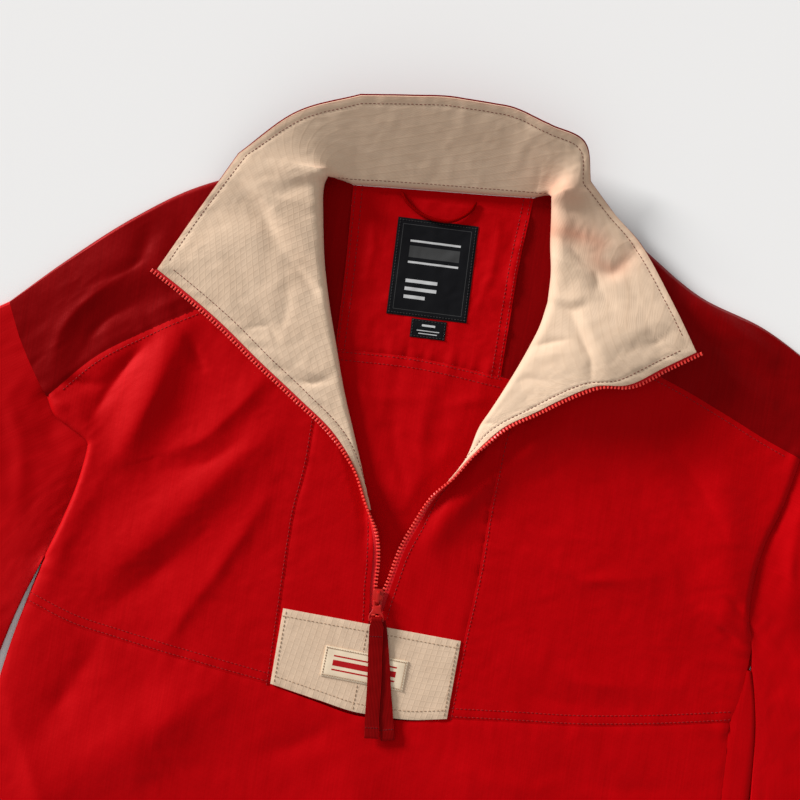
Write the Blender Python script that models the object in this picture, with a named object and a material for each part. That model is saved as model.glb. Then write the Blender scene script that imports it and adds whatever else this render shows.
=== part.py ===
"""Half-zip anorak pullover, laid flat on its back with the collar and the fronts turned open.

The frame: +X to the viewer's right, +Y up the garment towards the collar, +Z up from the surface
that it lies on. The origin is on the underside of the back, straight below the zip slider.
All sizes below are in millimetres, and MM turns them into metres.
"""

import math

import bmesh
import bpy
import numpy as np

MM = 0.001

# --------------------------------------------------------------------------- cloth and layers
WALL = 1.2            # one layer of shell cloth with its seam allowance
SEAM_GAP = 0.3        # between two pieces that are sewn together
FRONT_TOP = 4.9       # top of the front, over the back and the turned-in facing
EDGE_TOP = 2.75       # top of the front where a seam joins it to the back
FOLD_TOP = 4.2        # top of the front where the cloth folds over to the back
EDGE_RISE = 16.0      # how far in from an edge the front has risen to its full height

# --------------------------------------------------------------------------- seams, as (x, y)
# Seams across the garment run from its outer edge inwards, and those along it run down from the
# shoulder. "fold" is the body's edge where the back panel wraps round to a side seam in front.
# "zip_edge" and "teeth" are the cloth's and the tape's edges from where the front turns up.
SEAMS = {
    "left": {
        "shoulder": [(-308, 177), (-272, 213), (-226, 254), (-188, 281), (-142, 302), (-96, 315)],
        "armhole_yoke": [(-308, 177), (-294, 148), (-280, 126), (-269, 111)],
        "armhole_body": [(-269, 111), (-261, 98), (-247, 90), (-233, 80), (-236, 52), (-243, 22), (-252, -8)],
        "side_top": [(-252, -8), (-258, -34), (-260, -43)],
        "side_low": [(-260, -43), (-264, -62), (-274, -130), (-281, -230), (-286, -320), (-288, -394)],
        "yoke_seam": [(-269, 111), (-237, 147), (-201, 173), (-153, 203), (-93.5, 234.5)],
        "chest_seam": [(-260, -43), (-222, -55), (-190, -60), (-113, -70), (-70, -75)],
        "princess": [(-93.5, 234.5), (-79, 190), (-68, 140), (-68, 100), (-72, 48), (-71, -20), (-70, -75)],
        "zip_edge": [(-12.2, 48.5), (-8.6, 27), (-7.4, 9), (-5.2, -8), (-4.0, -25), (-4.0, -85.5)],
        "teeth": [(-7.3, 48.5), (-3.3, 33), (-1.9, 11), (-0.3, -3), (-0.3, -25), (-0.3, -86)],
        "back_seam": [(-269, 111), (-200, 146), (-120, 173), (-62, 181)],
        "back_panel": [(-68, 304), (-64, 240), (-62, 181)],
        "neck_side": [(-96, 315), (-87, 313), (-77, 309), (-68, 304)],
        "sleeve_outer": [(-308, 177), (-354, 146), (-400, 98), (-436, 36), (-460, -44), (-476, -150),
                         (-488, -260), (-498, -388)],
        "sleeve_inner": [(-252, -8), (-264, -45), (-276, -95), (-290, -160), (-319, -260), (-378, -404)],
    },
    "right": {
        "shoulder": [(305, 219), (253, 247), (202, 263), (152, 293), (120, 313), (89, 327)],
        "armhole_yoke": [(305, 219), (303, 190), (299, 170), (295, 155)],
        "armhole_body": [(295, 155), (288, 118), (279, 86), (275, 55), (276, 32), (282, 13)],
        "side_top": [(282, 13), (281, -7), (279, -27), (274, -48)],
        "side_low": [(274, -48), (276, -80), (278, -160), (280, -260), (281, -396)],
        "fold": [(284.6, -7), (290, -27), (294, -48), (297, -80), (299, -160), (301, -260), (302, -396)],
        "yoke_seam": [(295, 155), (265, 166), (239, 177), (186, 197), (140, 209), (99.5, 214.5)],
        "chest_seam": [(274, -48), (216, -60), (161, -69), (112, -74), (66, -79)],
        "princess": [(99.5, 214.5), (90, 190), (76, 150), (72, 100), (71, 30), (68, -20), (66, -79)],
        "zip_edge": [(29.8, 82.6), (21.6, 61.7), (13.8, 40.4), (9.4, 19), (5.2, -8), (4.0, -25), (4.0, -85.5)],
        "teeth": [(27.5, 84), (17.4, 63.6), (9.3, 41.7), (4.8, 19.8), (0.3, -3), (0.3, -25), (0.3, -86)],
        "back_seam": [(295, 155), (200, 156), (120, 173), (64, 180)],
        "back_panel": [(67, 316), (64, 250), (64, 180)],
        "neck_side": [(89, 327), (82, 325), (75, 321), (67, 316)],
        "sleeve_outer": [(305, 219), (360, 202), (413, 168), (456, 112), (484, 40), (499, -60), (507, -170),
                         (514, -355)],
        "sleeve_inner": [(300, -120), (308, -160), (330, -232), (398, -372)],
    },
}
MIDDLE = {
    "hem_front": [(-288, -394), (-150, -401), (0, -403), (150, -402), (281, -396)],
    "hem_back": [(-288, -394), (-150, -401), (0, -403), (150, -402), (302, -396)],
    "chest_point": [(-70, -75), (-34, -82), (0, -87.5), (33, -85.5), (66, -79)],
    "back_seam": [(-62, 181), (0, 184), (64, 180)],
    "neck": [(-68, 304), (-35, 307), (0, 310), (36, 313), (67, 316)],
}
# How many points each seam is drawn with. Pieces on both sides of a seam share them.
POINTS = {
    "shoulder": 9, "armhole_yoke": 9, "armhole_body": 14, "side_top": 4, "side_low": 9, "fold": 11,
    "yoke_seam": 9, "chest_seam": 9, "princess": 17, "back_panel": 5,
    "neck_side": 5, "sleeve_outer": 12, "sleeve_inner": 12, "hem_front": 21, "hem_back": 21,
    "chest_point": 5, "neck": 5,
}
BACK_SEAM_POINTS = {"side": 9, "middle": 5}

# The largest folds: a ridge or trough from (x0, y0) to (x1, y1), its half width and its height.
FOLDS = [
    # name                  x0    y0    x1    y1  width height
    ("left_chest_ridge",   -182,  170, -204,   82,   15,   6.5),
    ("left_chest_long",    -110,  100, -194,    4,   19,   4.0),
    ("left_shoulder",      -262,  195, -205,  225,   16,   3.0),
    ("left_waist",         -120,  -95, -235, -190,   26,   4.0),
    ("left_hem",           -150, -250, -190, -370,   24,   3.5),
    ("right_front_rise",     84,  168,  172,  224,   50,  16.0),
    ("right_zip_rise",       34,   60,   58,  124,   17,   4.0),
    ("right_chest",         110,   90,  215,   30,   30,   3.0),
    ("right_armhole",       240,  120,  262,   40,   18,   4.0),
    ("right_shoulder",      205,  258,  258,  226,   10,   3.5),
    ("right_waist",         100, -130,  225, -215,   28,   3.5),
    ("right_hem",           120, -270,  170, -375,   24,   3.5),
    ("middle_waist",          5, -140,  -20, -300,   26,   3.0),
    ("left_sleeve_cap",    -330,  120, -300,   40,   16,   5.0),
    ("left_sleeve_bend",   -390,  -20, -300,  -60,   18,   5.0),
    ("left_sleeve_low",    -440, -150, -350, -210,   18,   4.5),
    ("left_sleeve_cuff",   -460, -270, -390, -300,   14,   3.5),
    ("right_sleeve_cap",    335,  150,  320,   60,   18,   5.0),
    ("right_sleeve_bend",   430,   20,  330,  -30,   18,   5.0),
    ("right_sleeve_low",    460, -120,  350, -165,   18,   4.5),
    ("right_sleeve_cuff",   480, -240,  400, -270,   14,   3.5),
]

# --------------------------------------------------------------------------- collar sections
# The collar and the turned-back fronts as cross-sections, from the foot of the opening on the
# left, round the neck, to its foot on the right. Each starts at its inner edge (ix, iy, iz), runs
# for "lead" at the angle "start", bends with the radius "bend" to the angle "end", and then runs
# to its outer edge (ex, ey, ez). An angle of 180 points into the neck, 90 up and 0 outwards, and
# "out" is the way outwards there, in degrees from +X. A section that starts past 90 turns back
# over itself, and its (ix, iy) is the roll line instead.
COLUMNS = ("ix", "iy", "iz", "out", "start", "end", "lead", "bend", "ex", "ey", "ez")
SECTIONS = {
    "left_front": [
        (-16,  66, 1.7, 190, 180, 95, 3, 3.1,  -16.8,  67, 10.0),
        (-24,  87, 1.7, 195, 180, 30, 5, 3.2,  -29,    91, 10.0),
        (-37, 119, 1.7, 198, 180,  0, 7, 3.6,  -52,   118,  9.2),
        (-50, 151, 1.7, 200, 180, -4, 7, 4.2,  -84,   141,  8.6),
        (-60, 180, 1.7, 202, 180, -5, 7, 4.8, -115,   162,  8.6),
        (-72, 216, 1.7, 202, 180, -5, 7, 5.6, -150,   187,  8.6),
        (-80, 245, 1.7, 202, 180, -5, 7, 6.6, -179,   205,  8.6),
        (-85, 270, 1.7, 202, 180, -5, 7, 7.6, -202,   218,  8.6),
    ],
    "left_collar": [
        (-85, 270, 1.7, 202, 180, -5,  7,  7.6, -202, 218,  8.6),
        (-89, 297, 1.7, 192, 180, -5,  7,  8.6, -184, 256,  9.0),
        (-87, 306, 2.8, 152, 120,  8, 10, 10.0, -155, 312, 18.0),
    ],
    "left_neck": [
        (-87, 306,   2.8, 152, 120,  8, 10, 10.0, -155, 312, 18.0),
        (-80, 306.5, 2.0, 128,  90, 20,  6, 10.0, -118, 346, 30.0),
        (-68, 304.3, 1.5, 100,  80, 30,  2,  8.0,  -72, 366, 37.0),
    ],
    "back_neck": [
        (-68, 304.3, 1.5, 100, 80, 30, 2, 8, -72, 366, 37.0),
        (-35, 307.3, 1.5,  95, 80, 30, 2, 6, -37, 371, 38.0),
        (  0, 310.3, 1.5,  90, 80, 30, 2, 6,  -2, 375, 38.0),
        ( 36, 313.3, 1.5,  85, 80, 30, 2, 6,  34, 375, 37.0),
        ( 67, 316.3, 1.5,  78, 80, 28, 2, 8,  68, 367, 35.0),
    ],
    "right_neck": [
        (67,   316.3, 1.5, 78,  80, 28,  2,  8.0,  68, 367, 35.0),
        (76.5, 319.5, 2.0, 55,  90, 18,  6, 10.0,  98, 357, 29.0),
        (79,   318,   2.8, 32, 120,  6, 10, 10.0, 106, 333, 20.0),
    ],
    "right_collar": [
        (79, 318, 2.8,  32, 120,  6, 10, 10.0, 106,   333,   20.0),
        (81, 307, 1.8,   8, 180, -6,  7,  9.6, 127.5, 313,   14.0),
        (84, 284, 1.7,  -4, 180, -6,  7,  8.6, 150.5, 293.5, 14.0),
        (88, 262, 1.7, -10, 180, -5,  7,  7.6, 178.3, 256.7, 15.5),
        (89, 240, 1.7, -14, 180, -5,  7,  6.8, 203,   220.6, 17.5),
    ],
    "right_front": [
        (89, 240, 1.7, -14, 180, -5, 7, 6.8, 203,   220.6, 17.5),
        (86, 222, 1.7, -18, 180, -5, 7, 6.2, 181.2, 205.6, 17.5),
        (81, 206, 1.7, -20, 180, -5, 7, 5.6, 157.2, 188.8, 17.0),
        (74, 187, 1.7, -20, 180, -5, 7, 5.2, 133.2, 183.8, 16.5),
        (67, 170, 1.7, -20, 180, -5, 7, 4.6, 112.3, 171.9, 16.0),
        (60, 154, 1.7, -18, 180, -4, 7, 4.2,  91.5, 157,   15.0),
        (54, 141, 1.7, -16, 180,  0, 7, 3.8,  73.6, 145,   13.5),
        (48, 117, 1.7, -12, 180, 30, 5, 3.3,  53,   121,   11.5),
        (37,  96, 1.7, -10, 180, 95, 3, 3.1,  38,    98,   10.0),
    ],
}
SECTION_STEPS = {"left_front": 13, "left_collar": 6, "left_neck": 3, "back_neck": 6, "right_neck": 3,
                 "right_collar": 6, "right_front": 13}
BEND_STEPS = 5         # points round each bend
FLAP_STEPS = 4         # points from the bend to the outer edge
COLLAR_SEAM = 11       # the cross-section where a front ends and the collar starts
CORNER = SECTION_STEPS["left_front"]
SIDE_NECK = CORNER + SECTION_STEPS["left_collar"]

# --------------------------------------------------------------------------- zip, trims, pull
# The tape starts a little past the facing's edge, and its face is a little below the facing's.
TAPE_WALL, TAPE_START, TAPE_WIDTH, TAPE_DROP = 1.4, 0.7, 5.3, 0.65
PATCH_TOP = [(-69, -17), (66, -20)]
PATCH_FOOT = [(-69.5, -74), (-34, -80), (2, -85), (38, -84), (65, -79)]
PATCH_WALL, LABEL_WALL = 1.0, 0.9
# centre, width and height, turn in degrees
PATCH_LABEL = ((-2.0, -51.5), (62.5, 23.0), -2.0)
NECK_LABEL = ((0.7, 250.7), (60.5, 73.0), 2.0)
SIZE_LABEL = ((4.7, 206.2), (26.5, 14.0), 2.0)
LOOP_ROUTE = [(-31, 304.5, 3.1), (-27, 299, 3.6), (-19, 293, 4.0), (-7, 288.5, 4.3), (4, 288, 4.3),
              (16, 293, 4.0), (22, 299, 3.6), (25, 306, 3.1)]
LOOP_RADIUS = 1.4

PULL_TURN = math.radians(-86.0)       # the way that the slider and its pull point, from +X
SLIDER_CENTRE = (-0.4, 2.6)
SLIDER_BASE, SLIDER_LENGTH, SLIDER_WIDTH, SLIDER_PLATE, SLIDER_GAP = 2.0, 12.5, 8.0, 1.3, 2.3
CROWN_WIDTH, CROWN_WALL, CROWN_HOLE, CROWN_RISE = 2.4, 1.1, 7.5, 2.6
SLIDER_TOP = SLIDER_BASE + 2 * SLIDER_PLATE + SLIDER_GAP
HINGE_HEIGHT = SLIDER_TOP + CROWN_RISE / 2
HINGE_ALONG = CROWN_HOLE / 2 - 1.1    # from the slider's centre, inside the crown
PULLER_WALL = 1.6
BAR_HEIGHT = 9.9
# Half widths of the puller along its length, and of the eye and the ribbon slot in it.
PULLER_SIDE = [(-0.75, 3.3), (2.2, 3.3), (4.8, 2.9), (7.4, 3.5), (9.8, 5.1), (12.4, 5.9), (15.0, 5.7)]
PULLER_EYE = [(0.85, 1.75), (2.6, 1.75), (3.4, 1.1)]
PULLER_SLOT = [(9.4, 1.6), (10.1, 3.6), (11.2, 4.8), (13.1, 4.9)]
PULLER_SLOPE = 9.0                    # it has risen to the bar's height this far from the hinge
RIBBON_WALL = 1.0
# (along, height) round the bar, and (along, height left above its rest) after it
RIBBON_WRAP = [(14.4, 8.2), (12.9, 8.3), (12.1, 9.0), (11.9, 9.9), (12.2, 10.8), (13.0, 11.4), (14.4, 11.6)]
RIBBON_REST = [(14.4, 1.9), (19, 1.4), (25, 0.6), (33, 0.0)]
# turn from the puller, start, length, half width at the bar and below it
RIBBON_FRONT = (math.radians(2.7), 14.4, 88.0, 4.0, 5.3)
RIBBON_BACK = (math.radians(9.4), 14.8, 89.5, 4.9, 5.3)
RIBBON_STEPS = 12

COLOURS = {
    "red": (0.46, 0.0015, 0.004), "dark_red": (0.14, 0.001, 0.003), "tan": (0.72, 0.53, 0.37),
    "coral": (0.62, 0.03, 0.02), "ribbon_red": (0.17, 0.002, 0.005), "black": (0.006, 0.006, 0.006),
    "cream": (0.66, 0.55, 0.40),
}
ROUGHNESS = {"coral": 0.35}


# --------------------------------------------------------------------------- curves and patches
def smooth(rows, count, places=((0, 1),)):
    """count rows, evenly spaced along a smooth curve through the given rows, which goes level
    where a column turns back. Distance is that between the (x, y) places in each row, added up."""
    rows = np.array(rows, float)
    steps = sum(np.linalg.norm(np.diff(rows[:, list(place)], axis=0), axis=1) for place in places)
    knots = np.concatenate([[0], np.cumsum(steps)])
    slopes = np.gradient(rows, knots, axis=0)
    rises = np.diff(rows, axis=0)
    slopes[1:-1][rises[:-1] * rises[1:] <= 0] = 0
    at = np.linspace(0, knots[-1], count)
    i = np.clip(np.searchsorted(knots, at, side="right") - 1, 0, len(knots) - 2)
    span = (knots[i + 1] - knots[i])[:, None]
    f = (at - knots[i])[:, None] / span
    return (rows[i] * (1 + 2 * f) * (1 - f) ** 2 + rows[i + 1] * (3 - 2 * f) * f ** 2
            + slopes[i] * span * f * (1 - f) ** 2 + slopes[i + 1] * span * (f - 1) * f ** 2)


def curves(seams, back_seam_points):
    counts = {**POINTS, "back_seam": back_seam_points}
    return {name: smooth(rows, counts[name]) for name, rows in seams.items() if name in counts}


def chain(*parts):
    """Curves joined end to start, with each shared point kept once."""
    return np.concatenate([parts[0]] + [part[1:] for part in parts[1:]])


SIDE = {side: curves(seams, BACK_SEAM_POINTS["side"]) for side, seams in SEAMS.items()}
CENTRE = curves(MIDDLE, BACK_SEAM_POINTS["middle"])
# Below the armpit the right sleeve starts close beside the body's fold.
BESIDE_ROWS, BESIDE_GAP = 3, 0.5
ARMPIT, BESIDE = SIDE["right"]["armhole_body"][-1:], SIDE["right"]["fold"][:BESIDE_ROWS] + (BESIDE_GAP, 0)
SIDE["right"]["sleeve_inner"] = np.concatenate([
    ARMPIT, BESIDE[:-1],
    smooth([BESIDE[-1], *SEAMS["right"]["sleeve_inner"]], POINTS["sleeve_inner"] - BESIDE_ROWS)])


def patch(foot, top, outer, inner):
    """A grid of plan points inside four edges: rows go up from the foot, columns inwards."""
    u = np.linspace(0, 1, len(foot))[None, :, None]
    v = np.linspace(0, 1, len(outer))[:, None, None]
    across = outer[:, None] * (1 - u) + inner[:, None] * u
    along = foot[None] * (1 - v) + top[None] * v
    corners = ((1 - v) * ((1 - u) * foot[0] + u * foot[-1]) + v * ((1 - u) * top[0] + u * top[-1]))
    return across + along - corners


def square_to(line, towards):
    """Unit plan vectors square to a line, on the side of the given points."""
    along = np.gradient(line, axis=0)
    out = np.column_stack([-along[:, 1], along[:, 0]])
    out /= np.linalg.norm(out, axis=1, keepdims=True)
    return out * np.sign(((np.array(towards) - line) * out).sum())


def inset(plan, foot=True, top=True, outer=True, inner=True):
    """Draws the chosen edges of a plan grid in by half the seam gap."""
    plan = plan.copy()
    turned = plan.swapaxes(0, 1)
    for chosen, grid, rim, near in ((foot, plan, 0, 1), (top, plan, -1, -2), (outer, turned, 0, 1),
                                    (inner, turned, -1, -2)):
        if chosen:
            grid[rim] += square_to(grid[rim], grid[near]) * SEAM_GAP / 2
    return plan


def distance(points, line):
    """Each point's distance to a line of points."""
    start, run = line[:-1, :2], np.diff(line[:, :2], axis=0)
    to = points[..., None, :2] - start
    f = np.clip((to * run).sum(-1) / (run ** 2).sum(-1), 0, 1)
    return np.linalg.norm(to - f[..., None] * run, axis=-1).min(-1)


# --------------------------------------------------------------------------- heights
def outline():
    """The edges where the front comes down to the back."""
    lines = [CENTRE["hem_back"], SIDE["left"]["side_top"], SIDE["left"]["side_low"], SIDE["right"]["fold"]]
    for seams in SIDE.values():
        lines += [seams["shoulder"], seams["sleeve_outer"], seams["sleeve_inner"],
                  np.array([seams["sleeve_outer"][-1], seams["sleeve_inner"][-1]])]
    return lines


OUTLINE = outline()


def relief(points):
    """Height of the largest folds at each plan point."""
    height = np.zeros(points.shape[:-1])
    for _, x0, y0, x1, y1, width, tall in FOLDS:
        run = np.array((x1 - x0, y1 - y0), float)
        to = points[..., :2] - (x0, y0)
        f = np.clip((to @ run) / (run @ run), 0, 1)
        off = np.linalg.norm(to - f[..., None] * run, axis=-1)
        height += tall * np.exp(-(off / width) ** 2) * (0.55 + 0.45 * np.sin(math.pi * f))
    return height


def front_top(points, edge=EDGE_TOP):
    """Height of the front's top face at each plan point. It falls to edge at the outline."""
    nearest = np.min([distance(points, line) for line in OUTLINE], axis=0)
    inside = np.clip(nearest / EDGE_RISE, 0, 1)
    return edge + np.sqrt(inside * (2 - inside)) * (FRONT_TOP - edge + relief(points))


# --------------------------------------------------------------------------- solids
def link(name, data, colour, origin=(0.0, 0.0, 0.0)):
    made = bpy.data.materials.get(colour) or bpy.data.materials.new(colour)
    made.use_nodes = True
    shader = made.node_tree.nodes["Principled BSDF"]
    shader.inputs["Base Color"].default_value = (*COLOURS[colour], 1.0)
    shader.inputs["Roughness"].default_value = ROUGHNESS.get(colour, 0.7)
    data.materials.append(made)
    placed = bpy.data.objects.new(name, data)
    placed.location = np.array(origin, float) * MM
    bpy.context.scene.collection.objects.link(placed)
    return placed


def add(name, points, faces, colour, origin=(0.0, 0.0, 0.0)):
    """An object from points in millimetres, with its own origin and its faces turned outwards."""
    mesh = bpy.data.meshes.new(name)
    mesh.from_pydata([tuple(p) for p in (np.array(points, float) - origin) * MM], [], faces)
    shape = bmesh.new()
    shape.from_mesh(mesh)
    bmesh.ops.delete(shape, geom=[v for v in shape.verts if not v.link_faces], context="VERTS")
    bmesh.ops.recalc_face_normals(shape, faces=shape.faces)
    shape.to_mesh(mesh)
    shape.free()
    return link(name, mesh, colour, origin)


def shell(name, upper, lower, colour, ring=False, keep=None, origin=(0.0, 0.0, 0.0)):
    """A wall between two grids of points. ring closes each row, and keep says which cells exist.
    The cells are cut along the same diagonal in every layer, so that layers stay parallel."""
    rows, columns = upper.shape[:2]
    count = rows * columns
    quads = [(i * columns + j, i * columns + (j + 1) % columns, (i + 1) * columns + (j + 1) % columns,
              (i + 1) * columns + j)
             for i in range(rows - 1) for j in range(columns if ring else columns - 1)
             if keep is None or keep(i, j)]
    edges = {(quad[k], quad[(k + 1) % 4]) for quad in quads for k in range(4)}
    halves = [half for a, b, c, d in quads for half in ((a, b, c), (a, c, d))]
    faces = halves + [tuple(count + v for v in half[::-1]) for half in halves]
    faces += [(b, a, a + count, b + count) for a, b in sorted(edges) if (b, a) not in edges]
    points = np.concatenate([upper.reshape(-1, 3), lower.reshape(-1, 3)])
    return add(name, points, faces, colour, origin)


def lay(name, plan, top, colour, wall=WALL):
    """A panel over a plan grid, with its top face at the given heights."""
    shell(name, np.dstack([plan, top]), np.dstack([plan, top - wall]), colour)


def normals(grid, up_at):
    """Unit normals of a grid of points, on the side that faces up at the given place in it."""
    normal = np.cross(np.gradient(grid, axis=0), np.gradient(grid, axis=1))
    normal /= np.linalg.norm(normal, axis=-1, keepdims=True)
    return normal * np.sign(normal[up_at][2])


def level(grid, up):
    """A plan grid or a grid of points with their normals, which point straight up or down."""
    if grid.shape[-1] == 2:
        grid = np.dstack([grid, np.zeros(grid.shape[:2])])
    return grid, np.full(grid.shape, (0.0, 0.0, 1.0 if up else -1.0))


def round_fold(edge, outwards, angles):
    """Points and normals round a fold of the height FOLD_TOP, from its outermost line."""
    normal = np.array([np.column_stack([outwards * math.cos(a), np.full(len(edge), math.sin(a))])
                       for a in np.radians(angles)])
    middle = np.column_stack([edge - outwards * FOLD_TOP / 2, np.full(len(edge), FOLD_TOP / 2)])
    return middle + normal * FOLD_TOP / 2, normal


def join(parts, axis=0):
    """Grids of points with their normals, joined in order."""
    return [np.concatenate(grids, axis=axis) for grids in zip(*parts)]


# --------------------------------------------------------------------------- back
WRAP_ANGLES = (-45, 0, 45)
WRAP_STEPS = 3         # points from the fold to the side seam


def build_back():
    left, right = SIDE["left"], SIDE["right"]
    centre = inset(patch(CENTRE["back_seam"], CENTRE["neck"], left["back_panel"][::-1],
                         right["back_panel"][::-1]))
    lay("back_center", centre, np.full(centre.shape[:2], WALL), "red")

    # The lower back. Below the underarm its right edge folds over to the side seam in front.
    seam = chain(left["back_seam"], CENTRE["back_seam"], right["back_seam"][::-1])
    outer = chain(left["armhole_body"], left["side_top"], left["side_low"])[::-1]
    fold = right["fold"][::-1]
    side_seam = chain(right["side_top"], right["side_low"])[::-1][:len(fold)]
    wrapped = len(fold)
    inner = np.concatenate([fold, right["armhole_body"][::-1]])
    outwards = square_to(inner, (1000, -200))
    panel = inset(patch(CENTRE["hem_back"], seam, outer, inner), inner=False)
    panel[wrapped:, -1] -= outwards[wrapped:] * SEAM_GAP / 2
    panel[:wrapped, -1] -= outwards[:wrapped] * FOLD_TOP / 2
    top = np.zeros((len(inner), WRAP_STEPS, 2))
    for k in range(wrapped):
        top[k] = np.linspace(panel[k, -1], side_seam[k] + (SEAM_GAP / 2, 0), WRAP_STEPS)
    fold_round = [grid.swapaxes(0, 1) for grid in round_fold(inner, outwards, WRAP_ANGLES)]
    face, away = join([level(panel, False), fold_round,
                       level(np.dstack([top, front_top(top, FOLD_TOP)]), True)], axis=1)
    last = panel.shape[1] - 1
    shell("back_lower", face, face - away * WALL, "red", keep=lambda i, j: j < last or i < wrapped - 1)


# --------------------------------------------------------------------------- collar sections
def section_points(row):
    """One cross-section of the collar's visible face, from its inner to its outer edge."""
    s = dict(zip(COLUMNS, row))
    start, end = math.radians(s["start"]), math.radians(s["end"])
    tucked = (start > math.pi / 2) * (s["bend"] * (1 - math.sin(start)) - s["lead"] * math.cos(start))
    line = [(tucked, s["iz"]), (tucked + s["lead"] * math.cos(start), s["iz"] + s["lead"] * math.sin(start))]
    angles = np.linspace(start, end, BEND_STEPS + 1)
    for before, angle in zip(angles, angles[1:]):
        line.append((line[-1][0] + s["bend"] * (math.sin(before) - math.sin(angle)),
                     line[-1][1] + s["bend"] * (math.cos(angle) - math.cos(before))))
    out = math.radians(s["out"])
    points = [np.array((s["ix"] + a * math.cos(out), s["iy"] + a * math.sin(out), z)) for a, z in line]
    edge = np.array((s["ex"], s["ey"], s["ez"]))
    return points[:-1] + list(np.linspace(points[-1], edge, FLAP_STEPS + 1))


def collar_face():
    """The visible face of the facings and the collar lining, one row for each cross-section."""
    places = [(COLUMNS.index("ix"), COLUMNS.index("iy")), (COLUMNS.index("ex"), COLUMNS.index("ey"))]
    rows = []
    for name, table in SECTIONS.items():
        rows.extend(smooth(table, SECTION_STEPS[name] + 1, places)[1 if rows else 0:])
    face = np.array([section_points(row) for row in rows])
    face[..., 2] += relief(face)
    return face


def seam_in(grid):
    """Draws the first and last rows of a grid in by half the seam gap."""
    grid = grid.copy()
    for rim, near in ((0, 1), (-1, -2)):
        step = grid[near] - grid[rim]
        grid[rim] += step * SEAM_GAP / 2 / np.linalg.norm(step, axis=-1, keepdims=True)
    return grid


def build_collar():
    """The tan lining with both facings, and the outer collar behind it."""
    face = collar_face()
    away = normals(face, (len(face) // 2, -1))
    shell("collar_lining_and_facing", face, face - away * WALL, "tan")
    upper = face - away * (WALL + SEAM_GAP)
    lower = upper - away * WALL
    outer = slice(COLLAR_SEAM, len(face) - COLLAR_SEAM)
    shell("collar_outer", seam_in(upper[outer]), seam_in(lower[outer]), "dark_red")
    return face, away, upper, lower


# --------------------------------------------------------------------------- fronts
UNDER_STEPS = 4        # points from the princess seam to the place where a front turns back


def in_row_order(grid, side):
    """The grid with its rows in the collar's order, so that its diagonals match the collar's."""
    return grid if side == "left" else grid[::-1]


def zip_line(side, name, turned, rows):
    """A line along the zip, from its foot to where the front turns up, without that last point."""
    return smooth([turned[:2], *SEAMS[side][name]], rows + 1)[:0:-1]


def build_fronts(side, upper, lower):
    """The chest panel and the centre panel of one side."""
    seams = SIDE[side]
    order = slice(None, COLLAR_SEAM + 1) if side == "left" else slice(None, -COLLAR_SEAM - 2, -1)
    inside, outside = upper[order], lower[order]
    princess = seams["princess"][::-1]
    flat = len(princess) - len(inside)
    zip_edge = zip_line(side, "zip_edge", outside[0, -1], flat)
    columns = UNDER_STEPS + inside.shape[1]
    top, bottom = [], []
    for k, start in enumerate(princess):
        if k < flat:
            plan = np.linspace(start, zip_edge[k], columns)
            turned = []
        else:
            plan = np.linspace(start, inside[k - flat, 0, :2], UNDER_STEPS + 1)[:-1]
            turned = [(outside[k - flat], inside[k - flat])]
        height = front_top(plan)[:, None]
        top.append(np.concatenate([np.hstack([plan, height])] + [pair[0] for pair in turned]))
        bottom.append(np.concatenate([np.hstack([plan, height - WALL])] + [pair[1] for pair in turned]))
    grids = [seam_in(np.array(grid)) for grid in (top, bottom)]
    for grid in grids:
        grid[:, 0, 0] += (SEAM_GAP if side == "left" else -SEAM_GAP) / 2
    shell(f"front_center_{side}", *[in_row_order(grid, side) for grid in grids], "red")

    outer = chain(seams["armhole_body"], seams["side_top"])[::-1]
    panel = inset(patch(seams["chest_seam"], seams["yoke_seam"], outer, princess))
    lay(f"chest_{side}", panel, front_top(panel), "red")


def build_front_lower():
    left, right = SIDE["left"], SIDE["right"]
    seam = chain(left["chest_seam"], CENTRE["chest_point"], right["chest_seam"][::-1])
    panel = inset(patch(CENTRE["hem_front"], seam, left["side_low"][::-1], right["side_low"][::-1]))
    lay("front_lower", panel, front_top(panel), "red")


# --------------------------------------------------------------------------- yokes
YOKE_ANGLES = (45, 0, -45)


def build_yoke(side, lower):
    """One piece from the front yoke seam, over the shoulder fold, to the back yoke seam."""
    seams = SIDE[side]
    order = (slice(COLLAR_SEAM + 1, SIDE_NECK) if side == "left"
             else slice(-COLLAR_SEAM - 2, -SIDE_NECK - 1, -1))
    neck = lower[order, 0, :2]
    outwards = seams["armhole_yoke"][0] - neck
    neck = neck + outwards * SEAM_GAP / 2 / np.linalg.norm(outwards, axis=1, keepdims=True)
    front_neck = np.concatenate([seams["yoke_seam"][-1:], neck, seams["shoulder"][-1:]])
    armhole = seams["armhole_yoke"][::-1]
    back_neck = chain(seams["neck_side"], seams["back_panel"])[::-1]
    front = inset(patch(seams["yoke_seam"], seams["shoulder"], armhole, front_neck), top=False)
    back = inset(patch(seams["back_seam"], seams["shoulder"], armhole, back_neck), top=False)
    edge = front[-1].copy()
    outwards = square_to(seams["shoulder"], (0, 2000))
    front[-1] = back[-1] = edge - outwards * FOLD_TOP / 2
    face, away = join([level(np.dstack([front, front_top(front, FOLD_TOP)]), True),
                       round_fold(edge, outwards, YOKE_ANGLES), level(back[::-1], False)])
    shell(f"yoke_{side}", face, face - away * WALL, "dark_red")


# --------------------------------------------------------------------------- sleeves
SLEEVE_ANGLES = (35, -35)


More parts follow.
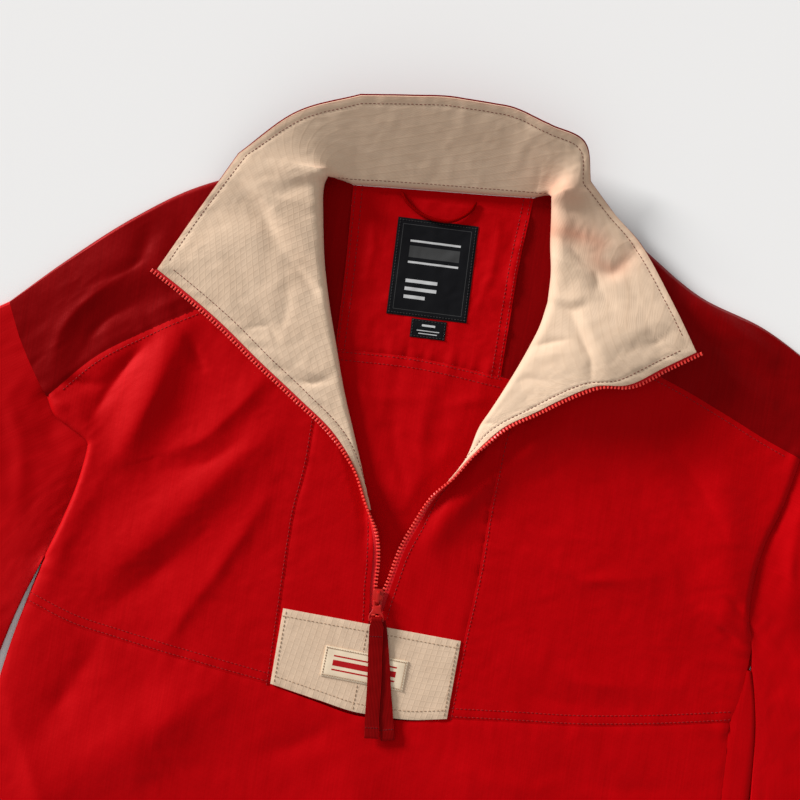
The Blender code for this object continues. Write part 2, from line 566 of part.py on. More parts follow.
def build_sleeve(side):
    """A flattened tube from the armhole to the cuff."""
    seams = SIDE[side]
    armhole = chain(seams["armhole_yoke"], seams["armhole_body"])
    outer, inner = seams["sleeve_outer"], seams["sleeve_inner"]
    plan = inset(patch(armhole, np.linspace(outer[-1], inner[-1], len(armhole)), outer, inner))
    folds = []
    for edge, middle, angles in ((-1, plan[:, 0], SLEEVE_ANGLES), (0, plan[:, -1], SLEEVE_ANGLES[::-1])):
        outwards = -square_to(plan[:, edge], middle)
        folds.append((edge, outwards, [g.swapaxes(0, 1) for g in round_fold(plan[:, edge], outwards, angles)]))
    for edge, outwards, _ in folds:
        plan[:, edge] -= outwards * FOLD_TOP / 2
    (_, _, inner_fold), (_, _, outer_fold) = folds
    face, away = join([level(np.dstack([plan, front_top(plan, FOLD_TOP)]), True), inner_fold,
                       level(plan[:, ::-1], False), outer_fold], axis=1)
    shell(f"sleeve_{side}", face, face - away * WALL, "red", ring=True)


# --------------------------------------------------------------------------- zip
def build_tape(side, face, away, lower):
    """The zip tape with its teeth as one band, from under the patch to the collar's corner."""
    rows = slice(0, CORNER + 1) if side == "left" else slice(None, -CORNER - 2, -1)
    edge, before, up = face[rows, -1], face[rows, -2], away[rows, -1]
    reach = edge - before
    reach /= np.linalg.norm(reach, axis=1, keepdims=True)
    sewn = edge - up * TAPE_DROP
    turned = np.stack([sewn + reach * d for d in (TAPE_START, TAPE_WIDTH / 2, TAPE_WIDTH)], axis=1)
    flat_rows = POINTS["princess"] - COLLAR_SEAM - 1
    cloth = zip_line(side, "zip_edge", lower[0 if side == "left" else -1, -1], flat_rows)[1:]
    teeth = zip_line(side, "teeth", turned[0, -1], flat_rows)[1:]
    start = cloth + (teeth - cloth) * SEAM_GAP / np.linalg.norm(teeth - cloth, axis=1, keepdims=True)
    height = front_top(start)[:, None] - TAPE_WALL
    flat = np.stack([np.hstack([start + (teeth - start) * f, height]) for f in (0, 0.5, 1)], axis=1)
    band = np.concatenate([flat, turned])
    drop = np.concatenate([np.tile((0.0, 0.0, -1.0), (len(flat), 1)), up])[:, None]
    shell(f"zip_tape_{side}", in_row_order(band, side), in_row_order(band - drop * TAPE_WALL, side), "coral")


# --------------------------------------------------------------------------- patch, labels, loop
def rectangle(centre, size, turn, columns, rows):
    turn = math.radians(turn)
    x, y = np.meshgrid(np.linspace(-0.5, 0.5, columns) * size[0], np.linspace(-0.5, 0.5, rows) * size[1])
    return np.dstack([centre[0] + x * math.cos(turn) - y * math.sin(turn),
                      centre[1] + x * math.sin(turn) + y * math.cos(turn)])


def build_patch_and_labels():
    top, foot = smooth(PATCH_TOP, 9), smooth(PATCH_FOOT, 9)
    plan = patch(foot, top, np.linspace(foot[0], top[0], 5), np.linspace(foot[-1], top[-1], 5))
    lay("front_patch", plan, front_top(plan) + SEAM_GAP + PATCH_WALL, "tan", PATCH_WALL)
    plan = rectangle(*PATCH_LABEL, 5, 3)
    lay("patch_label", plan, front_top(plan) + 2 * SEAM_GAP + PATCH_WALL + LABEL_WALL, "cream", LABEL_WALL)
    for name, place, cells in (("neck_label", NECK_LABEL, 4), ("size_label", SIZE_LABEL, 3)):
        plan = rectangle(*place, cells, cells)
        lay(name, plan, np.full(plan.shape[:2], WALL + SEAM_GAP + LABEL_WALL), "black", LABEL_WALL)


def build_hang_loop():
    curve = bpy.data.curves.new("hang_loop", "CURVE")
    curve.dimensions = "3D"
    curve.bevel_depth = LOOP_RADIUS * MM
    curve.bevel_resolution = 2
    curve.use_fill_caps = True
    route = smooth(LOOP_ROUTE, 18)
    spline = curve.splines.new("POLY")
    spline.points.add(len(route) - 1)
    for point, place in zip(spline.points, route):
        point.co = (*(place * MM), 1.0)
    link("hang_loop", curve, "dark_red")


# --------------------------------------------------------------------------- slider and pull
PULL = np.array((math.cos(PULL_TURN), math.sin(PULL_TURN)))
HINGE = (*(np.array(SLIDER_CENTRE) + HINGE_ALONG * PULL), HINGE_HEIGHT)


def set_out(points, turn=0.0):
    """Points given along the pull from its hinge, across it and up, in the garment's frame."""
    points = np.array(points, float)
    along = np.array((math.cos(PULL_TURN + turn), math.sin(PULL_TURN + turn)))
    across = np.array((-along[1], along[0]))
    plan = points[..., :1] * along + points[..., 1:2] * across + HINGE[:2]
    return np.concatenate([plan, points[..., 2:]], axis=-1)


def prism(shape, offset):
    """Points and faces of a solid between an outline and the same outline moved by an offset."""
    shape = np.array(shape, float)
    count = len(shape)
    faces = [tuple(range(count - 1, -1, -1)), tuple(range(count, 2 * count))]
    faces += [(i, (i + 1) % count, count + (i + 1) % count, count + i) for i in range(count)]
    return np.concatenate([shape, shape + offset]), faces


def build_slider():
    """Two plates with the divider between them and the crown on top, joined into one piece."""
    centre, sink = -HINGE_ALONG, 0.4
    front, rear, half, tail = -SLIDER_LENGTH / 2, SLIDER_LENGTH / 2, SLIDER_WIDTH / 2, SLIDER_WIDTH * 0.36
    plate = [(front, -half * 0.8), (front + 2, -half), (0, -half), (rear, -tail), (rear, tail), (0, half),
             (front + 2, half), (front, half * 0.8)]
    divider = [(front + 0.4, -0.7), (front + 4, -0.5), (front + 4, 0.5), (front + 0.4, 0.7)]
    hole, end = CROWN_HOLE / 2, CROWN_HOLE / 2 + CROWN_WALL
    foot, roof, crown_top = SLIDER_TOP - sink, SLIDER_TOP + CROWN_RISE, SLIDER_TOP + CROWN_RISE + CROWN_WALL
    crown = [(-end, foot), (-end, roof - 0.4), (-end + 1.4, crown_top), (end - 1.4, crown_top),
             (end, roof - 0.4), (end, foot), (hole, foot), (hole, roof - 0.6), (hole - 0.6, roof),
             (-hole + 0.6, roof), (-hole, roof - 0.6), (-hole, foot)]
    plates = [("zip_slider", plate, SLIDER_BASE, SLIDER_PLATE),
              ("upper_plate", plate, SLIDER_TOP - SLIDER_PLATE, SLIDER_PLATE),
              ("divider", divider, SLIDER_BASE + SLIDER_PLATE - sink / 2, SLIDER_GAP + sink)]
    solids = [(name, *prism([(a + centre, b, low) for a, b in shape], (0, 0, tall)))
              for name, shape, low, tall in plates]
    solids.append(("crown", *prism([(a + centre, -CROWN_WIDTH / 2, z) for a, z in crown], (0, CROWN_WIDTH, 0))))
    body, *others = [add(name, set_out(points), faces, "coral") for name, points, faces in solids]
    for other in others:
        union = body.modifiers.new(other.name, "BOOLEAN")
        union.operation = "UNION"
        union.object = other
        other.hide_render = True


def mirrored(side):
    """A closed outline from one side's (along, half width) rows."""
    return [(a, -b) for a, b in side] + [(a, b) for a, b in side[::-1]]


def build_puller():
    """A yoke that holds the crown in its eye and widens to a bar for the ribbon."""
    loops = [mirrored(side) for side in (PULLER_SIDE, PULLER_EYE, PULLER_SLOT)]
    shape = bmesh.new()
    levels = []
    for offset in (-PULLER_WALL / 2, PULLER_WALL / 2):
        rings = []
        for loop in loops:
            heights = np.interp([a for a, _ in loop], (0, PULLER_SLOPE), (HINGE_HEIGHT, BAR_HEIGHT)) + offset
            rings.append([shape.verts.new(p) for p in set_out(np.column_stack([loop, heights]))])
        edges = [shape.edges.new((a, b)) for ring in rings for a, b in zip(ring, ring[1:] + ring[:1])]
        bmesh.ops.triangle_fill(shape, edges=edges, use_beauty=True)
        levels.append(rings)
    for low, high in zip(*levels):
        for i, j in zip(range(len(low)), [*range(1, len(low)), 0]):
            shape.faces.new((low[i], low[j], high[j], high[i]))
    shape.verts.index_update()
    points, faces = [tuple(v.co) for v in shape.verts], [[v.index for v in f.verts] for f in shape.faces]
    shape.free()
    add("zip_puller", points, faces, "coral", origin=HINGE)


def build_ribbon(name, leg, rest, wrap=()):
    """One end of the ribbon on the puller, lying at a height above the front."""
    turn, start, length, narrow, wide = leg
    along = np.linspace(start, start + length, RIBBON_STEPS)
    half = np.interp(along, (start, start + 5), (narrow, wide))
    centre = set_out(np.column_stack([along, along * 0, along * 0]), turn)
    height = front_top(centre[:, :2]) + rest - RIBBON_WALL / 2
    if wrap:
        height += np.interp(along, *zip(*RIBBON_REST))
        along, height = np.concatenate([np.array(wrap).T, [along[1:], height[1:]]], axis=1)
        half = np.concatenate([np.full(len(wrap), narrow), half[1:]])
    line = np.column_stack([along, height])
    run = np.gradient(line, axis=0)
    normal = np.column_stack([-run[:, 1], run[:, 0]]) / np.linalg.norm(run, axis=1, keepdims=True)
    faces = []
    for offset in (RIBBON_WALL / 2, -RIBBON_WALL / 2):
        at = line + normal * offset
        faces.append(set_out(np.stack([np.column_stack([at[:, 0], half * f, at[:, 1]]) for f in (-1, 0, 1)],
                                      axis=1), turn))
    shell(name, *faces, "ribbon_red", origin=HINGE)


# --------------------------------------------------------------------------- garment
def main():
    for old in list(bpy.data.objects):
        bpy.data.objects.remove(old, do_unlink=True)
    build_back()
    face, away, upper, lower = build_collar()
    for side in SIDE:
        build_fronts(side, upper, lower)
        build_yoke(side, lower)
        build_sleeve(side)
        build_tape(side, face, away, lower)
    build_front_lower()
    build_patch_and_labels()
    build_hang_loop()
    build_slider()
    build_puller()
    rest = 3 * SEAM_GAP + PATCH_WALL + LABEL_WALL + RIBBON_WALL
    build_ribbon("pull_ribbon_back", RIBBON_BACK, rest)
    build_ribbon("pull_ribbon_front", RIBBON_FRONT, rest + SEAM_GAP + RIBBON_WALL, RIBBON_WRAP)


main()
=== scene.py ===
"""Half-zip anorak pullover, laid flat on its back: its visible cloth, zip, trims and stitching.

Every size is in millimetres until a mesh is made. +X is the viewer's right, +Y is up the garment
to the collar, and +Z is up from the surface that it lies on.
"""

import math

import bmesh
import bpy
import numpy as np
from mathutils import Matrix, Vector


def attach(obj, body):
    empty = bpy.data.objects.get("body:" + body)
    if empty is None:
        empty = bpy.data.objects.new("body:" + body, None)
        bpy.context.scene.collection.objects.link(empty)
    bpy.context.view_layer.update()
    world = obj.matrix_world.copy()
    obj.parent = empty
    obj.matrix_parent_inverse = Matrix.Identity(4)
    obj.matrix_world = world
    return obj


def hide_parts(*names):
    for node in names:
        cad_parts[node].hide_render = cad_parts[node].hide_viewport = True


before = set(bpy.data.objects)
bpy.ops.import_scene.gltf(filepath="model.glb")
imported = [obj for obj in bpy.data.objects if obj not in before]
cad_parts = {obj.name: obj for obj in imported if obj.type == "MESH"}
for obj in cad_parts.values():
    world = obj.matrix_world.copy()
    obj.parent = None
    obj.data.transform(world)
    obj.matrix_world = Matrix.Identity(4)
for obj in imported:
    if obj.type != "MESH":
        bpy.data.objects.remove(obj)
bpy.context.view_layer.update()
MM = 0.001

# =========================================================================== view, light and floor
# A plain pale floor with soft light from the upper left of the view. The camera looks straight
# down on the neck opening, with the garment turned a little to the left.
VIEW_CENTRE, VIEW_UP, VIEW_WIDTH, CAMERA_HEIGHT = (-7.7, 150.7), (-0.160, 0.987), 600.0, 1600.0
SENSOR = 36.0
FLOOR_COLOUR, FLOOR_ROUGHNESS, FLOOR_REACH = (0.86, 0.85, 0.84, 1), 0.9, 4.0      # the reach in metres
KEY_FROM, KEY_STRENGTH, KEY_SOFTNESS = (-0.80, 0.60, 0.30), 5.3, 15.0      # the softness in degrees
FILL_STRENGTH = 0.49

up = Vector((*VIEW_UP, 0)).normalized()
camera = bpy.data.objects.new("camera", bpy.data.cameras.new("camera"))
camera.data.sensor_width = SENSOR
camera.data.lens = SENSOR * CAMERA_HEIGHT / VIEW_WIDTH
turn = Matrix((up.cross(Vector((0, 0, 1))), up, Vector((0, 0, 1)))).transposed()
camera.matrix_world = (Matrix.Translation(Vector((*VIEW_CENTRE, CAMERA_HEIGHT)) * MM)
                       @ turn.to_4x4())
bpy.context.scene.collection.objects.link(camera)
bpy.context.scene.camera = camera
bpy.context.scene.view_settings.view_transform = "Standard"

sun = bpy.data.lights.new("key_light", "SUN")
sun.energy, sun.angle = KEY_STRENGTH, math.radians(KEY_SOFTNESS)
key = bpy.data.objects.new("key_light", sun)
key.matrix_world = (turn @ Vector(KEY_FROM)).to_track_quat("Z", "Y").to_matrix().to_4x4()
bpy.context.scene.collection.objects.link(key)
world = bpy.data.worlds.new("soft_room")
world.use_nodes = True
world.node_tree.nodes["Background"].inputs["Strength"].default_value = FILL_STRENGTH
world.node_tree.nodes["Background"].inputs["Color"].default_value = (1, 1, 1, 1)
bpy.context.scene.world = world


def new_object(name, data):
    made = bpy.data.objects.new(name, data)
    bpy.context.scene.collection.objects.link(made)
    return made


def plain_material(name, colour, roughness):
    made = bpy.data.materials.new(name)
    made.use_nodes = True
    shader = made.node_tree.nodes["Principled BSDF"]
    shader.inputs["Base Color"].default_value = colour
    shader.inputs["Roughness"].default_value = roughness
    return made


floor_mesh = bpy.data.meshes.new("floor")
floor_corners = [(x * FLOOR_REACH, y * FLOOR_REACH, 0) for x, y in ((-1, -1), (1, -1), (1, 1), (-1, 1))]
floor_mesh.from_pydata(floor_corners, [], [(0, 1, 2, 3)])
floor_mesh.materials.append(plain_material("floor", FLOOR_COLOUR, FLOOR_ROUGHNESS))
floor = new_object("floor", floor_mesh)

# =========================================================================== hang loop
# A soft braided cord, 2.8 mm thick and dark red. Both its ends are sewn into the back neck seam,
# and it lies on the back in one open loop.
LOOP_ROUTE = [(-31, 304.5, 3.1), (-27, 299, 3.6), (-19, 293, 4.0), (-7, 288.5, 4.3), (4, 288, 4.3),
              (16, 293, 4.0), (22, 299, 3.6), (25, 306, 3.1)]
LOOP_RADIUS, LOOP_POINTS, LOOP_SIDES = 1.4, 32, 12
END_SHARE = 0.55       # a sewn end's radius, as a share of the cord's
BRAID_PITCH, BRAID_LEAN = 2.4, 38
WAVE_PER_MM = 0.314    # the scale at which a wave texture has one band for each millimetre
LOOP_COLOURS = ((0.14, 0.0004, 0.0008, 1), (0.26, 0.0006, 0.001, 1))


def distances(line):
    """How far along a line each of its points lies."""
    return np.concatenate([[0], np.cumsum(np.linalg.norm(np.diff(line, axis=0), axis=1))])


def unit(vectors):
    return vectors / np.linalg.norm(vectors, axis=-1, keepdims=True)


def smooth(rows, count, places=((0, 1),)):
    """count rows, evenly spaced along a smooth curve through the given rows, which goes level
    where a column turns back. Distance is that between the (x, y) places in each row, added up."""
    rows = np.array(rows, float)
    steps = sum(np.linalg.norm(np.diff(rows[:, list(place)], axis=0), axis=1) for place in places)
    knots = np.concatenate([[0], np.cumsum(steps)])
    slopes = np.gradient(rows, knots, axis=0)
    rises = np.diff(rows, axis=0)
    slopes[1:-1][rises[:-1] * rises[1:] <= 0] = 0
    at = np.linspace(0, knots[-1], count)
    i = np.clip(np.searchsorted(knots, at, side="right") - 1, 0, len(knots) - 2)
    span = (knots[i + 1] - knots[i])[:, None]
    f = (at - knots[i])[:, None] / span
    return (rows[i] * (1 + 2 * f) * (1 - f) ** 2 + rows[i + 1] * (3 - 2 * f) * f ** 2
            + slopes[i] * span * f * (1 - f) ** 2 + slopes[i + 1] * span * (f - 1) * f ** 2)


def node(tree, kind, inputs=(), **settings):
    """A new node, with sockets or values on its inputs. Its outputs are returned."""
    made = tree.nodes.new(kind)
    for setting, value in settings.items():
        setattr(made, setting, value)
    for place, value in dict(inputs).items():
        if isinstance(value, bpy.types.NodeSocket):
            tree.links.new(value, made.inputs[place])
        else:
            made.inputs[place].default_value = value
    return made.outputs


def maths(tree, what, a, b=0.0, c=0.0):
    return node(tree, "ShaderNodeMath", {0: a, 1: b, 2: c}, operation=what)[0]


def blend_colours(tree, factor, first, second):
    """A mix of two colours, each one a socket or a value."""
    return node(tree, "ShaderNodeMix", {0: factor, 6: first, 7: second}, data_type="RGBA")[2]


def finish_material(name, colour, height, roughness, depth, specular=0.2, sheen=0.0,
                    sheen_tint=(1, 1, 1, 1), specular_tint=(1, 1, 1, 1)):
    """Fills in a material whose tree already makes a colour and a height socket."""
    tree = bpy.data.materials[name].node_tree
    shader = tree.nodes["Principled BSDF"]
    bump = node(tree, "ShaderNodeBump", {"Strength": 1.0, "Distance": depth * MM, "Height": height})
    tree.links.new(colour, shader.inputs["Base Color"])
    tree.links.new(bump[0], shader.inputs["Normal"])
    if isinstance(roughness, bpy.types.NodeSocket):
        tree.links.new(roughness, shader.inputs["Roughness"])
    else:
        shader.inputs["Roughness"].default_value = roughness
    shader.inputs["Specular IOR Level"].default_value = specular
    shader.inputs["Specular Tint"].default_value = specular_tint
    shader.inputs["Sheen Weight"].default_value = sheen
    shader.inputs["Sheen Tint"].default_value = sheen_tint
    return bpy.data.materials[name]


def new_tree(name):
    bpy.data.materials.new(name).use_nodes = True
    return bpy.data.materials[name].node_tree


def on_cloth(tree, across=1, along=1, turned=0.0):
    """Places on the cloth, in units of the given millimetres across and along it, and turned."""
    uv = node(tree, "ShaderNodeUVMap", uv_map="cloth")[0]
    return node(tree, "ShaderNodeMapping", {"Vector": uv, "Rotation": (0, 0, math.radians(turned)),
                                            "Scale": (1 / across, 1 / along, 1)})[0]


def noise(tree, vector, scale=1.0, detail=2.0):
    return node(tree, "ShaderNodeTexNoise", {"Vector": vector, "Scale": scale, "Detail": detail})[0]


def threads(tree, vector, pitch, uneven, direction="X", detail=2.0):
    """Parallel rounded threads, one for each pitch, in the units of the vector."""
    return node(tree, "ShaderNodeTexWave", {"Vector": vector, "Scale": WAVE_PER_MM / pitch,
                                            "Distortion": uneven, "Detail": detail},
                bands_direction=direction)[1]


def braid_material():
    tree = new_tree("braided_cord")
    strands = [threads(tree, on_cloth(tree, BRAID_PITCH, BRAID_PITCH, turned), 0.5, 0.3)
               for turned in (BRAID_LEAN, -BRAID_LEAN)]
    height = maths(tree, "MAXIMUM", *strands)
    return finish_material("braided_cord", blend_colours(tree, height, *LOOP_COLOURS), height, 0.75, 0.3,
                           specular=0.0)


def set_uv(mesh, uv):
    """Gives each face corner its place on the cloth."""
    layer = mesh.uv_layers.new(name="cloth")
    layer.data.foreach_set("uv", np.array(uv, np.float32).ravel())


def tube(name, line, radius, sides, material):
    """A closed round tube along a line of points."""
    run = unit(np.gradient(line, axis=0))
    across = unit(np.cross(run, (0.0, 0.0, 1.0)))
    over = np.cross(across, run)
    angles = np.linspace(0, 2 * math.pi, sides, endpoint=False)
    ends = np.concatenate([[END_SHARE], np.ones(len(line) - 2), [END_SHARE]])[:, None, None]
    rings = line[:, None] + radius * ends * (across[:, None] * np.cos(angles)[:, None]
                                             + over[:, None] * np.sin(angles)[:, None])
    along = distances(line)
    faces, uv = [], []
    for i in range(len(line) - 1):
        for j in range(sides):
            k = (j + 1) % sides
            faces.append((i * sides + j, i * sides + k, (i + 1) * sides + k, (i + 1) * sides + j))
            u0, u1 = (2 * math.pi * radius * s / sides for s in (j, j + 1))
            uv += [(u0, along[i]), (u1, along[i]), (u1, along[i + 1]), (u0, along[i + 1])]
    for cap in (range(sides - 1, -1, -1), range((len(line) - 1) * sides, len(line) * sides)):
        faces.append(tuple(cap))
        uv += [(0, 0)] * sides
    mesh = bpy.data.meshes.new(name)
    mesh.from_pydata(list(map(tuple, rings.reshape(-1, 3) * MM)), [], faces)
    set_uv(mesh, uv)
    mesh.shade_smooth()
    mesh.materials.append(material)
    return new_object(name, mesh)


loop_line = smooth(LOOP_ROUTE, LOOP_POINTS)
hang_loop = tube("hang_loop_braid", loop_line, LOOP_RADIUS, LOOP_SIDES, braid_material())
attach(hang_loop, "garment")
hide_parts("hang_loop")

# =========================================================================== back panels
# Plain woven shell cloth. The lower back is one piece, whose right edge wraps round to a side seam
# in front below the armhole; the back centre shows inside the neck. They lie on the floor.
CLOTH = 0.6            # thickness of one layer of shell cloth
FRONT_TOP = 4.9        # top of the front, over the back and the turned-in facing
EDGE_TOP = 2.75        # top of the front where a seam joins it to the back
FOLD_TOP = 4.2         # top of the front where the cloth folds over to the back
EDGE_RISE = 16.0       # how far in from an edge the front has risen to its full height
SEAM_GAP = 0.3         # room between layers that lie on each other
EDGE_GAP = 0.03        # each piece ends this far short of its seam
BACK_TOP = 1.2         # top of the back, over the floor
BACK_DIP = -0.6        # the deepest that a crease sinks into the back
OPEN_FROM, OPEN_TO = 66, 302      # the back is free to crease between these, up the garment
OPEN_EASE = 16         # and from this far inside the two rolls
CREASE_STRENGTH = 1.1  # how much taller creases are made than their tables say
SEWN_WIDTH = 1.8       # half width of the dip that a stitch row pulls into the cloth
CLOTH_SHARP = 62.0     # edges where cloth bends more sharply than this many degrees aren't smoothed
# The points of each seam and edge, in plan.
SEAMS = {
    "left": {
        "shoulder": [(-308, 177), (-272, 213), (-226, 254), (-188, 281), (-142, 302), (-96, 315)],
        "armhole_yoke": [(-308, 177), (-294, 148), (-280, 126), (-269, 111)],
        "armhole_body": [(-269, 111), (-261, 98), (-247, 90), (-233, 80), (-236, 52), (-243, 22),
                         (-252, -8)],
        "side_top": [(-252, -8), (-258, -34), (-260, -43)],
        "side_low": [(-260, -43), (-264, -62), (-274, -130), (-281, -230), (-286, -320), (-288, -394)],
        "yoke_seam": [(-269, 111), (-237, 147), (-201, 173), (-153, 203), (-93.5, 234.5)],
        "chest_seam": [(-260, -43), (-222, -55), (-190, -60), (-113, -70), (-70, -75)],
        "princess": [(-93.5, 234.5), (-79, 190), (-68, 140), (-68, 100), (-72, 48), (-71, -20),
                     (-70, -75)],
        "zip_edge": [(-12.2, 48.5), (-8.6, 27), (-7.4, 9), (-5.2, -8), (-4.0, -25), (-4.0, -85.5)],
        "teeth": [(-7.3, 48.5), (-3.3, 33), (-1.9, 11), (-0.3, -3), (-0.3, -25), (-0.3, -86)],
        "back_seam": [(-269, 111), (-200, 146), (-120, 173), (-62, 181)],
        "back_panel": [(-68, 304), (-64, 240), (-62, 181)],
        "neck_side": [(-96, 315), (-87, 313), (-77, 309), (-68, 304)],
        "sleeve_outer": [(-308, 177), (-354, 146), (-400, 98), (-436, 36), (-460, -44), (-476, -150),
                         (-488, -260), (-498, -388)],
        "sleeve_inner": [(-252, -8), (-264, -45), (-276, -95), (-290, -160), (-319, -260), (-378, -404)],
    },
    "right": {
        "shoulder": [(305, 219), (253, 247), (202, 263), (152, 293), (120, 313), (89, 327)],
        "armhole_yoke": [(305, 219), (303, 190), (299, 170), (295, 155)],
        "armhole_body": [(295, 155), (288, 118), (279, 86), (275, 55), (276, 32), (282, 13)],
        "side_top": [(282, 13), (281, -7), (279, -27), (274, -48)],
        "side_low": [(274, -48), (276, -80), (278, -160), (280, -260), (281, -396)],
        "fold": [(284.6, -7), (290, -27), (294, -48), (297, -80), (299, -160), (301, -260), (302, -396)],
        "yoke_seam": [(295, 155), (265, 166), (239, 177), (186, 197), (140, 209), (99.5, 214.5)],
        "chest_seam": [(274, -48), (216, -60), (161, -69), (112, -74), (66, -79)],
        "princess": [(99.5, 214.5), (90, 190), (76, 150), (72, 100), (71, 30), (68, -20), (66, -79)],
        "zip_edge": [(29.8, 82.6), (21.6, 61.7), (13.8, 40.4), (9.4, 19), (5.2, -8), (4.0, -25),
                     (4.0, -85.5)],
        "teeth": [(27.5, 84), (17.4, 63.6), (9.3, 41.7), (4.8, 19.8), (0.3, -3), (0.3, -25), (0.3, -86)],
        "back_seam": [(295, 155), (200, 156), (120, 173), (64, 180)],
        "back_panel": [(67, 316), (64, 250), (64, 180)],
        "neck_side": [(89, 327), (82, 325), (75, 321), (67, 316)],
        "sleeve_outer": [(305, 219), (360, 202), (413, 168), (456, 112), (484, 40), (499, -60),
                         (507, -170), (514, -355)],
        "sleeve_inner": [(300, -120), (308, -160), (330, -232), (398, -372)],
    },
    "middle": {
        "hem_front": [(-288, -394), (-150, -401), (0, -403), (150, -402), (281, -396)],
        "hem_back": [(-288, -394), (-150, -401), (0, -403), (150, -402), (302, -396)],
        "chest_point": [(-70, -75), (-34, -82), (0, -87.5), (33, -85.5), (66, -79)],
        "back_seam": [(-62, 181), (0, 184), (64, 180)],
        "neck": [(-68, 304), (-35, 307), (0, 310), (36, 313), (67, 316)],
    },
}
# Steps along each seam, and how many times finer the cloth on it is drawn.
STEPS = {
    "shoulder": 8, "armhole_yoke": 8, "armhole_body": 13, "side_top": 3, "side_low": 8, "fold": 10,
    "yoke_seam": 8, "chest_seam": 8, "princess": 16, "back_panel": 4,
    "neck_side": 4, "sleeve_outer": 11, "sleeve_inner": 11, "hem_front": 20, "hem_back": 20,
    "chest_point": 4, "neck": 4, "back_seam": 8,
}
MIDDLE_BACK_STEPS = 4
FINE = 10
# Below the armpit the right sleeve runs beside the body's fold for so many steps, this far under it.
BESIDE_STEPS, BESIDE_GAP = 3, -0.6
# Where each front rolls outwards.
ROLL_LINES = {
    "left": [(-18, 60), (-24, 87), (-37, 119), (-50, 151), (-60, 180), (-72, 216), (-80, 245),
             (-84, 268), (-89, 300)],
    "right": [(20, 60), (36, 96), (49, 117), (54, 141), (67, 170), (81, 206), (86, 222), (89, 240),
              (80, 306)],
}
# The largest folds, from (x0, y0) to (x1, y1), with their half width and height.
FOLDS = [
    (-182, 170, -204, 82, 15, 6.5), (-110, 100, -194, 4, 19, 4.0), (-262, 195, -205, 225, 16, 3.0),
    (84, 168, 172, 224, 50, 16.0), (34, 60, 58, 124, 17, 4.0),
    (-120, -95, -235, -190, 26, 4.0), (-150, -250, -190, -370, 24, 3.5), (110, 90, 215, 30, 30, 3.0),
    (240, 120, 262, 40, 18, 4.0), (205, 258, 258, 226, 10, 3.5), (100, -130, 225, -215, 28, 3.5),
    (120, -270, 170, -375, 24, 3.5), (5, -140, -20, -300, 26, 3.0), (-330, 120, -300, 40, 16, 5.0),
    (-390, -20, -300, -60, 18, 5.0), (-440, -150, -350, -210, 18, 4.5),
    (-460, -270, -390, -300, 14, 3.5), (335, 150, 320, 60, 18, 5.0), (430, 20, 330, -30, 18, 5.0),
    (460, -120, 350, -165, 18, 4.5), (480, -240, 400, -270, 14, 3.5),
]
# Finer creases: height, half width on the left and on the right of the line, and its points.
BACK_CREASES = [
    (1.6, 7, 5, (-46, 176), (-38, 140), (-24, 96)),
    (1.3, 6, 8, (20, 178), (12, 140), (16, 100), (8, 72)),
    (1.8, 6, 6, (58, 168), (46, 132), (34, 108)),
    (-0.8, 5, 5, (-14, 172), (-10, 130), (2, 92)),
    (1.0, 5, 6, (-50, 158), (-22, 150), (6, 156)),
    (1.2, 5, 5, (26, 150), (44, 158), (62, 160)),
    (1.2, 4, 5, (-60, 236), (-56, 212), (-60, 190)),
    (1.4, 4, 4, (66, 300), (61, 262), (63, 232)),
    (0.9, 4, 4, (-52, 292), (-46, 258), (-50, 222)),
    (1.0, 4, 5, (44, 300), (46, 268), (42, 236)),
]
SHELL_THREADS, SHELL_PICKS, SHELL_STREAK = 0.8, 0.9, 0.30
SHELL_RED = ((0.37, 0.0002, 0.0012, 1), (0.44, 0.0004, 0.0022, 1))
RED_SHEEN = (1.0, 0.01, 0.02, 1)


def seam(side, name, finer=FINE):
    """A seam's curve. Below the armpit the right sleeve starts close beside the body's fold."""
    steps = MIDDLE_BACK_STEPS if (side, name) == ("middle", "back_seam") else STEPS[name]
    if (side, name) != ("right", "sleeve_inner"):
        return smooth(SEAMS[side][name], steps * finer + 1)
    fold = seam("right", "fold", finer)[:(BESIDE_STEPS - 1) * finer + 1] + (BESIDE_GAP, 0)
    armpit = np.linspace(SEAMS["right"]["armhole_body"][-1], fold[0], finer + 1)
    rest = smooth([fold[-1], *SEAMS[side][name]], (steps - BESIDE_STEPS) * finer + 1)
    return chain(armpit, fold, rest)


def chain(*parts):
    """Curves joined end to start, with each shared point kept once."""
    return np.concatenate([parts[0]] + [part[1:] for part in parts[1:]])


def patch(foot, top, outer, inner):
    """A grid of plan points inside four edges: rows go up from the foot, columns inwards."""
    u = np.linspace(0, 1, len(foot))[None, :, None]
    v = np.linspace(0, 1, len(outer))[:, None, None]
    across = outer[:, None] * (1 - u) + inner[:, None] * u
    along = foot[None] * (1 - v) + top[None] * v
    corners = ((1 - v) * ((1 - u) * foot[0] + u * foot[-1]) + v * ((1 - u) * top[0] + u * top[-1]))
    return across + along - corners


def square_to(line, towards):
    """Unit plan vectors square to a line, on the side of the given points."""
    along = np.gradient(line, axis=0)
    out = unit(np.column_stack([-along[:, 1], along[:, 0]]))
    return out * np.sign(((np.array(towards) - line) * out).sum())


def inset(plan, top=True, inner=True):
    """Draws the edges of a plan grid in by the edge gap. Its top or inner edge can be left."""
    plan = plan.copy()
    turned = plan.swapaxes(0, 1)
    for chosen, grid, rim, near in ((True, plan, 0, 1), (top, plan, -1, -2), (True, turned, 0, 1),
                                    (inner, turned, -1, -2)):
        if chosen:
            grid[rim] += square_to(grid[rim], grid[near]) * EDGE_GAP
    return plan


